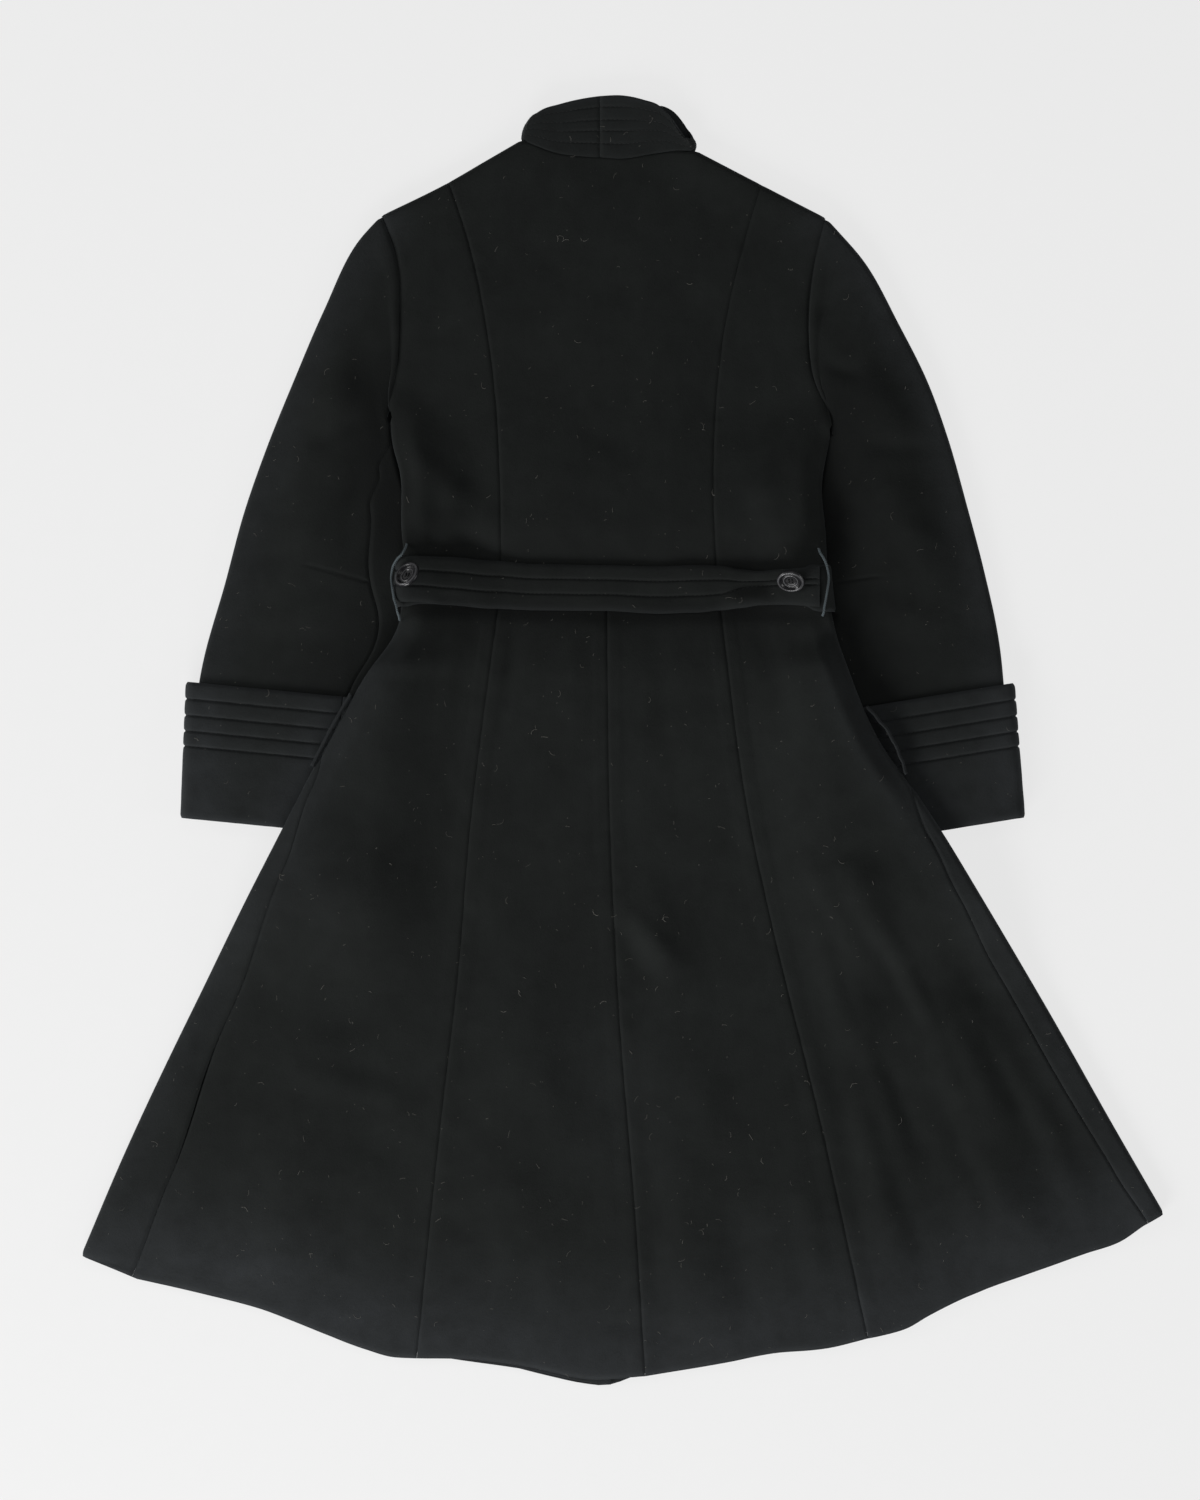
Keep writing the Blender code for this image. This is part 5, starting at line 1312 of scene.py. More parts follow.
def skirt_front(coat, side):
    """Front gore from its free edge along the floor, round the folded side and up to the side seam."""
    sizes = coat.sizes
    fold, direction = skirt_fold(side)
    low_edge = turned_edge(side, lambda shares: np.full(len(shares), QUARTER))
    hem_down = FRONT_HEM[side][0][1]
    free = front_edge(side, np.linspace(WAIST_DOWN, hem_down, 160))
    free[0, 1] = waist_y(-SEAM_GAP)
    waist = np.stack((free[0], low_edge[0]))
    hem = smooth_curve(np.vstack((place(FRONT_HEM[side]), low_edge[-1:])))
    hem[0] = free[-1]
    steps = (SEAM_STEPS, (0.0, 0.004), SEAM_STEPS, SEAM_STEPS)
    floor_plan, down = panel(free, low_edge, waist, hem, steps, UNDER_STEP, UNDER_ROW_STEP)
    floor_heights = lapped(side, floor_plan, front_height(floor_plan))

    ends = QUARTER + seam_ways(side, down) - SIDE_SEAM_GAP / 2
    ways = np.array([wrap_ways(end, QUARTER, 9) for end in ends])
    distance = fold_inset(np.abs(ways - QUARTER))
    round_plan = along(fold, down)[:, None] + distance[..., None] * along(direction, down)[:, None]
    round_plan[0, :, 1] = waist_y(-SEAM_GAP)
    upper = back_height(round_plan, sizes.unevenness)
    round_heights = np.where(ways <= QUARTER, front_height(round_plan), upper)
    floor_points = raised(floor_plan, floor_heights)
    points = np.hstack((floor_points, raised(round_plan, round_heights)[:, 1:]))
    plan = np.hstack((floor_plan, round_plan[:, 1:]))
    side_seam = round_plan[:, -1]
    upper_hem = round_plan[-1]
    shares = hem_roll(plan, np.vstack((hem, upper_hem)), [free, waist])
    seam_rows = np.arange(plan.shape[1]) >= floor_plan.shape[1] + TURNS
    shares = np.where(seam_rows, np.minimum(shares, rolled(plan, [side_seam])), shares)
    node = f"skirt_front_{side}"
    # Paler hem on the upper part: wear and a painted highlight
    wear_and_highlight = np.where(seam_rows, hem_wear_and_highlight(plan, upper_hem), 0.0)
    piece = cloth(coat, node, points, (0.5, 0.2, DOWN), sizes.cloth_thickness, shares, wear_and_highlight)
    pocket_edge(coat, side)


def pocket_edge(coat, side):
    """Rolled edge of the side pocket, a narrow strip that stands along the skirt's folded side."""
    outline = BODY_OUTLINE[side][WAIST_ROW[side]:]
    away = -BODY_INWARD[side][WAIST_ROW[side]:]
    table = np.array(POCKET_EDGE[side])
    shares = np.linspace(table[0, 0], table[-1, 0], 45)
    out = table_value(table, shares)
    lift = body_lift(along(outline, shares))
    parts = np.linspace(0, 1, 9)
    rows = []
    for part in parts:
        roll = 0.0006 * math.sin(math.pi * part)
        plan = along(outline, shares) + (out + roll)[:, None] * along(away, shares)
        rows.append(raised(plan, lift + POCKET_EDGE_FROM + part * (POCKET_EDGE_TO - POCKET_EDGE_FROM)))
    points = np.array(rows)
    facing = (0.5, 0.5, np.array((OUTWARD_X[side], 0.0, 0.0)))
    roll = 0.55 + 0.45 * np.sqrt(np.sin(np.pi * np.clip(parts, 0.06, 0.94)))[:, None]
    # Upper half of the strip paler: wear and a painted highlight
    wear_and_highlight = 0.6 * ease(parts, 0.5, 1.0)[:, None]
    return cloth(coat, f"pocket_edge_{side}", points, facing, coat.sizes.cloth_thickness, roll, wear_and_highlight)


# Sleeves and cuffs
def tube_columns(width, strips, seam_way, radius):
    """Columns round a flattened tube from its seam: distance from the inner fold, and 1 above or -1 below."""
    quarter = radius * math.pi / 2
    first = fold_inset(seam_way + SEAM_GAP / 2 + quarter * np.linspace(0, 1, TURNS + 1), radius)
    far = width - fold_steps(radius)
    upper = np.concatenate((first, np.linspace(first[-1], width - radius, strips + 1)[1:], far[::-1][1:]))
    lower = np.concatenate((far[1:], np.linspace(width - radius, radius, strips + 1)[1:]))
    end = quarter + seam_way - SEAM_GAP / 2
    ways = wrap_ways(end, quarter, 8)[1:]
    closing = fold_inset(np.abs(ways - quarter), radius)
    distances = np.concatenate((upper, lower, closing))
    closing_levels = np.where(ways < quarter, -1.0, 1.0)
    levels = np.concatenate((np.ones(len(upper)), -np.ones(len(lower)), closing_levels))
    return np.stack((distances, levels), axis=1)


def sleeve_section(columns, width, inner, inner_square, outer, outer_square):
    """Plan points of a sleeve's section: square to both folds near them, and straight between."""
    from_inner = columns[:, :1]
    from_outer = width - from_inner
    low = inner + INNER_RADIUS * inner_square
    high = outer + INNER_RADIUS * outer_square
    straight = low + (from_inner - INNER_RADIUS) / (width - 2 * INNER_RADIUS) * (high - low)
    plan = np.where(from_inner < INNER_RADIUS, inner + from_inner * inner_square, straight)
    return np.where(from_outer < INNER_RADIUS, outer + from_outer * outer_square, plan)


def sleeve_row(side, station, strips):
    """One section of a sleeve at a share of its length: points, columns and shares of the way across."""
    ring = station == 0.0
    fans = ((SLEEVE_OUTER_FOLD[side], station ** OUTER_FAN), (SLEEVE_INNER_FOLD[side], station ** INNER_FAN))
    outer, inner = (along(fold, share) for fold, share in fans)
    outer_square, inner_square = (along(inward(fold, SLEEVE_MIDDLE[side]), share) for fold, share in fans)
    width = length_of(ARMHOLE[side]) if ring else np.linalg.norm(outer - inner)
    seam_way = way_past_fold(table_value(SLEEVE_SEAM_INSET[side], station))
    columns = tube_columns(width, strips, seam_way, INNER_RADIUS)
    shares = columns[:, 0] / width
    plan = sleeve_section(columns, width, inner, inner_square, outer, outer_square)
    armhole = along(ARMHOLE[side][::-1], shares)
    if ring:
        armhole[:, 0] += OUTWARD_X[side] * ARMHOLE_GAP / 2
        tucked = inner + UNDERARM_TUCK * (plan - inner)
        plan = np.where(columns[:, :1] > INNER_RADIUS + SEAM_GAP, armhole, tucked)
        edge = width - columns[:, 0]
    else:
        bow = armhole - between(ARMHOLE[side][-1], ARMHOLE[side][0], shares)
        plan = plan + bow * max(0.0, 1 - station / 0.4) ** 2
        edge = np.minimum(columns[:, 0], width - columns[:, 0])
    crown = table_value(SLEEVE_CROWN, station) * np.sin(np.pi * shares) ** 2
    crease = ridges(plan, SLEEVE_FOLDS[side]) * np.sin(np.pi * shares) ** 2
    flat = rounded(edge) - BACK_SINK * ease(edge, INNER_RADIUS, SINK_WIDTH) * ring
    height = np.where(columns[:, 1] > 0, flat + crown + crease, -rounded(edge))
    lift = table_value(SLEEVE_LIFT, station)
    return raised(plan, FOLD_RADIUS + height + lift), columns[:, 1], shares


def sleeve_reaches(side, step):
    """Distances of the sleeve's sections along its outer fold, closer at the armhole and the elbow dart."""
    fold = SLEEVE_OUTER_FOLD[side]
    even = spread([length_of(fold)], SEAM_STEPS, (0.0, 0.004), step)[0]
    dart = place(np.reshape(ELBOW_DART[side], (2, 2))).mean(axis=0)
    beside = reach_of(fold)[np.argmin(np.abs(fold[:, 1] - dart[1]))]
    close = np.arange(beside - DART_BAND, beside + DART_BAND, 0.0014)
    kept = even[(even < close[0] - 0.001) | (even > close[-1] + 0.001)]
    return np.sort(np.concatenate((kept, close)))


def underarm_allowance(coat, side):
    """Seam allowance that lies inside the underarm, under the meeting edges of body and sleeve."""
    across, down, width, length = UNDERARM_ALLOWANCE[side]
    middle = place((across, down))
    grid = bmesh.new()
    matrix = Matrix.Translation((*middle, FOLD_RADIUS)) @ Matrix.Diagonal((width * MM, length * MM, 1.0, 1.0))
    bmesh.ops.create_grid(grid, x_segments=4, y_segments=6, size=0.5, matrix=matrix)
    bmesh.ops.solidify(grid, geom=grid.faces, thickness=0.0008)
    bmesh.ops.recalc_face_normals(grid, faces=grid.faces)
    mesh = close_mesh(grid, f"underarm_allowance_{side}")
    return add_piece(coat, mesh, "felted wool")


def sleeve(coat, side):
    """Sleeve cut in one, a flattened tube from the armhole to its end inside the cuff."""
    sizes = coat.sizes
    fold = SLEEVE_OUTER_FOLD[side]
    length = length_of(fold)
    reaches = sleeve_reaches(side, sizes.grid_step * SLEEVE_COARSER)
    strips = int(SLEEVE_WIDTH / sizes.grid_step / SLEEVE_COARSER)
    ring, levels, shares = sleeve_row(side, 0.0, strips)
    second, _, _ = sleeve_row(side, FIRST_SECTION, strips)
    first_reach = FIRST_SECTION ** OUTER_FAN * length
    fold_ends = along(fold, np.array((0.0, first_reach / length)))
    rows = []
    for reach in reaches:
        if reach < first_reach:
            way = reach / first_reach
            row = ring + way * (second - ring)
            on_fold = along(fold, np.array((reach / length,)))
            row[:, :2] += shares[:, None] ** 3 * (on_fold - between(*fold_ends, np.array((way,))))
            rows.append(row)
        else:
            rows.append(sleeve_row(side, min(1.0, (reach / length) ** (1 / OUTER_FAN)), strips)[0])
    points = np.array(rows)
    plan = points[..., :2]
    above = (levels > 0) * np.clip(np.sin(np.pi * shares), 0, 1) ** 0.7
    before_cuff = 1 - ease(reaches, 0.70 * length, 0.78 * length)[:, None]
    after_ring = ease(reaches, 0.0, 0.012)[:, None]
    head = bell(reaches - HEAD_AT, *HEAD_RISE)[:, None]
    detail = ridges(plan, SLEEVE_CREASES[side], CREASE_END) + sizes.unevenness * waves(plan, 0.045, 11.0)
    points[..., 2] += np.maximum(detail * before_cuff * after_ring + head, -0.0028) * above
    ends = np.reshape(ELBOW_DART[side], (2, 2))
    dart = bell(edge_distance(plan, [place(ends)]), *DART_DRAW) * (levels > 0)
    ring_roll = bell(reaches, *ARMHOLE_DRAW)[:, None]
    from_start = np.linalg.norm(points - points[:, :1], axis=-1)
    from_end = np.linalg.norm(points - points[:, -1:], axis=-1)
    seam_roll = bell(np.minimum(from_start, from_end), *SLEEVE_SEAM_DRAW)
    roll = np.clip(1 - np.maximum(np.maximum(dart, ring_roll), seam_roll), 0.35, 1.0)
    node = f"sleeve_{side}"
    # Painted shade on the sleeve beside the body
    beside_body = bell(edge_distance(plan, [BODY_OUTLINE[side]]), *SLEEVE_SHADE)
    piece = cloth(coat, node, points, (0.5, 0.25, UP), sizes.cloth_thickness, roll, darker=beside_body)
    underarm_allowance(coat, side)


def cuff(coat, side):
    """Turned-back cuff round the sleeve's end, with four stitched channels."""
    corners = {name: place(row) for name, row in CUFF_CORNERS[side].items()}
    depth = np.linalg.norm(corners["outer_end"] - corners["outer_top"])
    rows = channel_rows(depth, CUFF_GROOVES, 0.0035)
    shares = channel_shares(rows, depth, CUFF_GROOVES, plain=True)
    radius = CUFF_RADIUS - QUILTED_WALL
    lines = []
    for row in rows / depth:
        outer = corners["outer_top"] + row * (corners["outer_end"] - corners["outer_top"])
        inner = corners["inner_top"] + row * (corners["inner_end"] - corners["inner_top"])
        run = (outer - inner) / np.linalg.norm(outer - inner)
        outer = outer - QUILTED_WALL * run
        inner = inner + QUILTED_WALL * run
        width = np.linalg.norm(outer - inner)
        columns = tube_columns(width, 40, CUFF_SEAM_INSET[side], radius)
        edge = np.minimum(columns[:, 0], width - columns[:, 0])
        rise = rounded(edge, radius) * columns[:, 1]
        lines.append(raised(between(inner, outer, columns[:, 0] / width), CUFF_RADIUS + rise))
    points = np.array(lines)
    plan = points[..., :2]
    flat = np.clip((points[..., 2] - CUFF_RADIUS) / radius, 0, 1)
    lower = ease(rows, CUFF_GROOVES[-1] * depth, depth * 0.7)[:, None]
    soft = 0.0007 * waves(plan, 0.035, 17.0) * (0.35 + 0.65 * lower) + 0.0003 * waves(plan, 0.008, 19.0)
    points[..., 2] += np.maximum(soft, -0.0008) * flat
    uneven = 1 + 0.05 * waves(plan, 0.010, 23.0)
    # Paler cuff edges: wear and a painted highlight
    wear_and_highlight = (bell(rows, 0.003) + bell(depth - rows, 0.005))[:, None]
    thick = np.clip(shares[:, None] * uneven, THINNEST, 1.0)
    wall = (points, (0.5, 0.25, UP), coat.sizes.quilted_thickness, thick)
    # The cuff's wool is made lighter in tone
    piece = cloth(coat, f"cuff_{side}", *wall, wear_and_highlight, darker=-0.30)
    sew(coat, f"cuff_stitching_{side}", wall, rows, np.array(CUFF_GROOVES) * depth)


# Collar and belt
def collar(coat, side):
    """Half of the stand collar, from the centre back round the neck to the centre front."""
    stations = np.array(COLLAR[side])
    base = np.hstack((place(stations[:, 0:2]), stations[:, 2:3] * MM))
    rim = np.hstack((place(stations[:, 3:5]), stations[:, 5:6] * MM))
    both = smooth_curve(np.hstack((base, rim)), 0.0045)
    base, rim = both[:, :3], both[:, 3:]
    base[:, 1] -= COLLAR_TUCK * ease(base[:, 2], 0.0055, 0.0062)
    centre = NAPE[0] + COLLAR_CENTRE * MM - OUTWARD_X[side] * COLLAR_OVERLAP
    base[0, 0] = centre
    rim[0, 0] = centre
    rows = channel_rows(COLLAR_DEPTH, COLLAR_GROOVES)
    shares = channel_shares(rows, COLLAR_DEPTH, COLLAR_GROOVES)
    points = rim[None] + (rows / COLLAR_DEPTH)[:, None, None] * (base - rim)[None]
    from_centre = reach_of(base)
    side_fold = from_centre[np.argmax(base[:, 0] * OUTWARD_X[side])]
    bulge = np.sin(np.pi * rows / COLLAR_DEPTH)[:, None] * bell(from_centre - side_fold, 0.010)
    points[..., 0] += 0.0022 * OUTWARD_X[side] * bulge
    centre_roll = 1 - bell(from_centre, 0.0010, 0.32)
    uneven = 1 + 0.05 * waves(points[..., :2], 0.011, 29.0)
    edges = bell(rows, EDGE_ROLL) + bell(COLLAR_DEPTH - rows, EDGE_ROLL)
    kept = np.maximum(1 - 0.75 * ease(from_centre, 0.012, 0.045)[None], edges[:, None])
    thick = 0.92 + (shares[:, None] - 0.92) * 0.48 * kept
    thick = np.clip(thick * centre_roll[None] * uneven, THINNEST, 1.0)
    # Paler rim: wear and a painted highlight
    wear_and_highlight = bell(rows, 0.004)[:, None]
    # Painted light on the low inner face of the front collar, which lies in shade, and lighter wool over the
    # whole collar
    inside = -0.20 - 0.50 * (1 - ease(points[..., 2], 0.0035, 0.0060))
    wall = (points, (0.5, 0.0, UP), coat.sizes.cloth_thickness, thick)
    piece = cloth(coat, f"collar_{side}", *wall, wear_and_highlight, darker=inside)
    grooves = np.array(COLLAR_GROOVES) * COLLAR_DEPTH
    sew(coat, f"collar_stitching_{side}", wall, rows, grooves)


def belt_fold(side, y):
    """Middle of the body's folded side at the belt: its X and height."""
    outline = BODY_OUTLINE[side]
    x = np.interp(-y, -outline[:, 1], outline[:, 0]) - OUTWARD_X[side] * FOLD_RADIUS
    return x, FOLD_RADIUS + body_lift(np.array([x, y]))


def half_belt_y(x, row):
    """Y at a share of the half belt's width, from its upper edge."""
    edges = np.array(BELT_EDGES)
    across = (x - NAPE[0]) / MM
    shift, start, end = BELT_DRAWN_UP
    row = row - shift * ease(across, start, end) * bell(row - BELT_GROOVES[1], 0.20)
    upper = table_value(edges[:, :2], across)
    lower = table_value(edges[:, ::2], across)
    return NAPE[1] - upper - row * (lower - upper)


def front_belt_y(x, row):
    """Y at a share of the front belt's width, from its upper edge."""
    line = place(FRONT_BELT_LINE)
    return np.interp(x, line[:, 0], line[:, 1]) + (0.5 - row) * BELT_WIDTH


def back_belt_base(points):
    """Height of the half belt's inner face: over the back, and over the front belt's ends near the sides."""
    y_middle = place(BELT_LINE)[:, 1].mean()
    near = np.min([np.abs(points[..., 0] - belt_fold(side, y_middle)[0]) for side in SIDES], axis=0)
    step = BELT_STEP * (1 - ease(near, *BELT_OVERLAP))
    return back_form(points) + WALL + BELT_EASE + step + ridges(points, BELT_FOLDS)


def belt_turn(side, y, radius, degrees):
    """Points round the body's folded side."""
    centre_x, centre_z = belt_fold(side, y)
    angles = np.radians(degrees)
    x = centre_x + radius * np.cos(angles) * OUTWARD_X[side]
    return np.stack((x, np.full(len(angles), y), centre_z + radius * np.sin(angles)), axis=1)


def belt_back(coat):
    """Half belt across the back, over the ends of the front belt, with two stitched rows."""
    sizes = coat.sizes
    rows = channel_rows(BELT_WIDTH, BELT_GROOVES, 0.0028)
    shares = channel_shares(rows, BELT_WIDTH, BELT_GROOVES)
    first_y = place(BELT_LINE[0])[1]
    fold_x = {side: belt_fold(side, first_y)[0] for side in SIDES}
    end_x = place((BACK_BELT_END_ACROSS, 0))[0]
    columns = spread([end_x - fold_x["left"]], (0.0, 0.003), SEAM_STEPS, sizes.grid_step)[0] + fold_x["left"]
    lines = []
    for row in rows / BELT_WIDTH:
        y = half_belt_y(fold_x["left"], row)
        turn = belt_turn("left", y, FOLD_RADIUS + 2 * BELT_EASE + WALL, np.linspace(0.0, 80.0, 9))
        plan = np.stack((columns, half_belt_y(columns, row)), axis=1)
        lines.append(np.vstack((turn, raised(plan, back_belt_base(plan)))))
    points = np.array(lines)
    plan = points[..., :2]
    detail = ridges(plan, BELT_CREASES, CREASE_END) + 0.0004 * waves(plan, 0.022, 31.0)
    inside = ease(np.arange(points.shape[1]), 9, 16)
    points[..., 2] += np.maximum(detail, -0.0007) * inside
    end_roll = 1 - bell(end_x - plan[..., 0], 0.0045, 0.6)
    hollow = np.minimum(ridges(plan, BELT_CREASES, CREASE_END), 0.0) / 0.0040
    rows_of_stitches = 0.92 + (shares[:, None] - 0.92) * 0.75
    uneven = 1 + 0.05 * waves(plan, 0.010, 37.0)
    thick = np.clip(rows_of_stitches * end_roll * uneven + hollow, THINNEST, 1.0)
    # Paler belt edges: wear and a painted highlight
    wear_and_highlight = 0.4 * (bell(rows, 0.003) + bell(BELT_WIDTH - rows, 0.004))[:, None]
    wall = (points, (0.5, 0.5, UP), sizes.quilted_thickness, thick)
    # The half belt's wool is made lighter in tone
    piece = cloth(coat, "belt_back", *wall, wear_and_highlight, darker=-0.25)
    sew(coat, "belt_stitching", wall, rows, np.array(BELT_GROOVES) * BELT_WIDTH)


def belt_front(coat):
    """Belt from under one end of the half belt, round the side, under the front and up the other side."""
    radius = FOLD_RADIUS + BELT_EASE
    first_y = place(BELT_LINE[0])[1]
    rows = channel_rows(BELT_WIDTH, (), 0.004)
    reach_above, reach_below = FRONT_BELT_REACH
    lines = []
    for row in rows / BELT_WIDTH:
        halves = {}
        for side in SIDES:
            y = front_belt_y(belt_fold(side, first_y)[0], row)
            fold_x = belt_fold(side, y)[0]
            reach = np.linspace(reach_above, 0.003, 9)
            x = fold_x - OUTWARD_X[side] * reach
            narrow = FRONT_BELT_NARROW[side] * ease(reach, 0.008, 0.022)
            middle = front_belt_y(x, 0.5)
            plan = np.stack((x, middle + (1 - narrow) * (front_belt_y(x, row) - middle)), axis=1)
            top = raised(plan, back_form(plan) + WALL + BELT_EASE)
            turn = belt_turn(side, y, radius, np.linspace(80.0, -90.0, 15))
            x = fold_x - OUTWARD_X[side] * np.linspace(0.006, reach_below, 24)
            plan = np.stack((x, front_belt_y(x, row)), axis=1)
            floor = raised(plan, body_lift(plan) - BELT_EASE)
            halves[side] = np.vstack((top, turn, floor))
        lines.append(np.vstack((halves["left"], halves["right"][::-1])))
    points = np.array(lines)
    edges = bell(rows, 0.0020) + bell(BELT_WIDTH - rows, 0.0020)
    thick = np.clip(1 - 0.45 * edges, THINNEST, 1.0)[:, None]
    # Paler edges: wear and a painted highlight
    wear_and_highlight = np.clip(edges, 0, 1)[:, None] * 0.8
    facing = (0.5, 0.4, DOWN)
    cloth(coat, "belt_front", points, facing, coat.sizes.cloth_thickness, thick, wear_and_highlight)


# Buttons, loops and lint
def button_place(side):
    """Matrix that puts a button on the belt."""
    across, down, tilt_y, tilt_x, rise = BUTTONS[side]
    x, y = place((across, down))
    reach = BUTTON_RADIUS / 2
    heights = back_belt_base(np.array([(x - reach, y), (x, y), (x + reach, y)]))
    slope = (heights[2] - heights[0]) / (2 * reach)
    turn = Euler((math.radians(tilt_x), math.radians(tilt_y) - math.atan(slope), 0.0))
    return Matrix.Translation((x, y, heights[1] + rise * MM)) @ turn.to_matrix().to_4x4()


def hole_places():
    """Middles of a button's four holes."""
    angles = np.radians((45.0, 135.0, 225.0, 315.0))
    return [(BUTTON_HOLE_CIRCLE * math.cos(angle), BUTTON_HOLE_CIRCLE * math.sin(angle)) for angle in angles]


def button(coat, side):
    """Turned button with two rings, a dished floor, four holes and its thread."""
    radius = coat.sizes.button_radius
    grid = bmesh.new()
    profile = [grid.verts.new((share * radius, 0.0, height * MM)) for share, height in BUTTON_PROFILE]
    edges = [grid.edges.new(pair) for pair in zip(profile, profile[1:])]
    bmesh.ops.spin(
        grid, geom=profile + edges, cent=(0.0, 0.0, 0.0), axis=(0.0, 0.0, 1.0), angle=math.tau,
        steps=BUTTON_SEGMENTS, use_merge=True, use_duplicate=False,
    )
    bmesh.ops.remove_doubles(grid, verts=grid.verts, dist=0.000005)
    ring = [edge for edge in grid.edges if edge.is_boundary]
    floor_height = BUTTON_PROFILE[0][1] * MM
    rims = []
    for x, y in hole_places():
        spot = Matrix.Translation((x, y, floor_height))
        made = bmesh.ops.create_circle(grid, segments=14, radius=BUTTON_HOLE_RADIUS, matrix=spot)
        rims += list({edge for vertex in made["verts"] for edge in vertex.link_edges})
    bmesh.ops.triangle_fill(grid, use_beauty=True, edges=ring + rims, normal=(0.0, 0.0, 1.0))
    sunk = bmesh.ops.extrude_edge_only(grid, edges=rims)["geom"]
    bmesh.ops.translate(
        grid, verts=[item for item in sunk if isinstance(item, bmesh.types.BMVert)], vec=(0.0, 0.0, -0.0021)
    )
    bmesh.ops.holes_fill(grid, edges=[edge for edge in grid.edges if edge.is_boundary], sides=0)
    bmesh.ops.recalc_face_normals(grid, faces=grid.faces)
    places = np.array([vertex.co for vertex in grid.verts])
    shares = np.hypot(places[:, 0], places[:, 1]) / radius
    # The rings' upward tops get wear and a painted highlight
    rings = sum(bell(shares - share, width) for share, width in BUTTON_RINGS)
    bmesh.ops.transform(grid, matrix=button_place(side), verts=grid.verts)
    mesh = mesh_of(grid, f"button_{side}_turned")
    set_attribute(mesh, "wear_and_highlight", rings * (places[:, 2] > BUTTON_WEAR_AND_HIGHLIGHT_ABOVE), len(places))
    mesh.set_sharp_from_angle(angle=math.radians(50))
    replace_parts(add_piece(coat, mesh, "polished button"), f"button_{side}")
    button_thread(coat, side)


def button_thread(coat, side):
    """Thread through a button's holes, and the wound stem that holds it to the belt."""
    matrix = button_place(side)
    floor_height = BUTTON_PROFILE[0][1] * MM
    holes = hole_places()
    grid = bmesh.new()
    for first, second in ((0, 3), (1, 2)):
        start = np.array(holes[first])
        end = np.array(holes[second])
        for shift in (-0.00035, 0.00035):
            route = []
            for share in np.linspace(0, 1, 11):
                x, y = start + share * (end - start) + np.array((shift, 0.0))
                arch = math.sin(math.pi * share) ** 0.45
                route.append(matrix @ Vector((x, y, floor_height - 0.0016 + 0.0023 * arch)))
            tube(grid, np.array(route), 0.00036)
    centre = np.array(matrix @ Vector((0.0, 0.0, 0.0006)))
    foot = np.array((centre[0], centre[1], float(back_belt_base(centre[None, :2])[0]) + QUILTED_WALL * 0.7))
    turns = np.linspace(0, 1, 60)
    angle = turns * math.tau * 7
    core = foot + turns[:, None] * (centre - foot)
    wound = core + 0.0009 * np.stack((np.cos(angle), np.sin(angle), np.zeros(60)), axis=1)
    tube(grid, wound, 0.00055, 5)
    tube(grid, between(foot, centre, np.linspace(0, 1, 4)), 0.0009, 8)
    add_piece(coat, close_mesh(grid, f"button_thread_{side}"), "sewing thread")


def belt_loop(coat, side):
    """Thread loop of two twisted strands that holds the belt to the side."""
    radius_of_loop = coat.sizes.loop_radius
    knots = [
        belt_turn(side, NAPE[1] - down * MM, radius * MM, (degrees,))[0]
        for down, degrees, radius in BELT_LOOPS[side]
    ]
    curve = smooth_curve(np.array(knots), 0.0006)
    route = along(curve, np.linspace(0, 1, 150))
    direction = np.gradient(route, axis=0)
    direction /= np.linalg.norm(direction, axis=1)[:, None]
    first = np.cross(direction, UP)
    first /= np.linalg.norm(first, axis=1)[:, None]
    second = np.cross(first, direction)
    angle = reach_of(route) / 0.0042 * math.tau
    grid = bmesh.new()
    for start in (0.0, math.pi):
        turn = np.cos(angle + start)[:, None] * first + np.sin(angle + start)[:, None] * second
        tube(grid, route + 0.48 * radius_of_loop * turn, 0.62 * radius_of_loop, 7)
    mesh = close_mesh(grid, f"belt_loop_{side}_twisted")
    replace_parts(add_piece(coat, mesh, "loop cord"), f"belt_loop_{side}")


def lint(scene):
    """Short pale fibres that lie on the wool."""
    chance = np.random.default_rng(41)
    view = bpy.context.evaluated_depsgraph_get()
    low, high = (np.array(corner) for corner in CAD_BOX)
    grid = bmesh.new()
    laid = 0
    while laid < scene.overcoat.sizes.lint_count:
        x, y = low[:2] + chance.random(2) * (high - low)[:2]
        heading = chance.random() * math.tau
        bend = (chance.random() - 0.5) * 600.0
        length = 0.0012 + 0.0060 * chance.random() ** 3
        radius = 0.00007 + 0.00008 * chance.random()
        route = []
        for part in np.linspace(0.0, length, 6):
            turn = heading + bend * part
            spot = Vector((x + part * math.cos(turn), y + part * math.sin(turn), 0.2))
            hit, point, normal, _, item, _ = scene.ray_cast(view, spot, Vector(DOWN))
            if not hit or normal.z < 0.8 or not item.name.endswith("_wool"):
                break
            route.append(point + normal * radius * 1.2)
        if len(route) < 6 or max(abs(a.z - b.z) for a, b in zip(route, route[1:])) > 0.0015:
            continue
        tube(grid, np.array(route), radius, 4)
        laid += 1
    add_piece(scene.overcoat, close_mesh(grid, "lint"), "lint fibre")


# Settings
def length_setting(name, description, default, precision=4):
    """A length that a user can change."""
    return bpy.props.FloatProperty(
        name=name, description=description, default=default, unit="LENGTH", precision=precision
    )


def colour_setting(name, description, *default):
    """A colour that a user can change."""
    return bpy.props.FloatVectorProperty(
        name=name, description=description, default=(*default, 1.0), subtype="COLOR", size=4
    )


def strength_setting(name, description, default, most):
    """A strength that a user can change."""
    return bpy.props.FloatProperty(name=name, description=description, default=default, min=0.0, max=most)


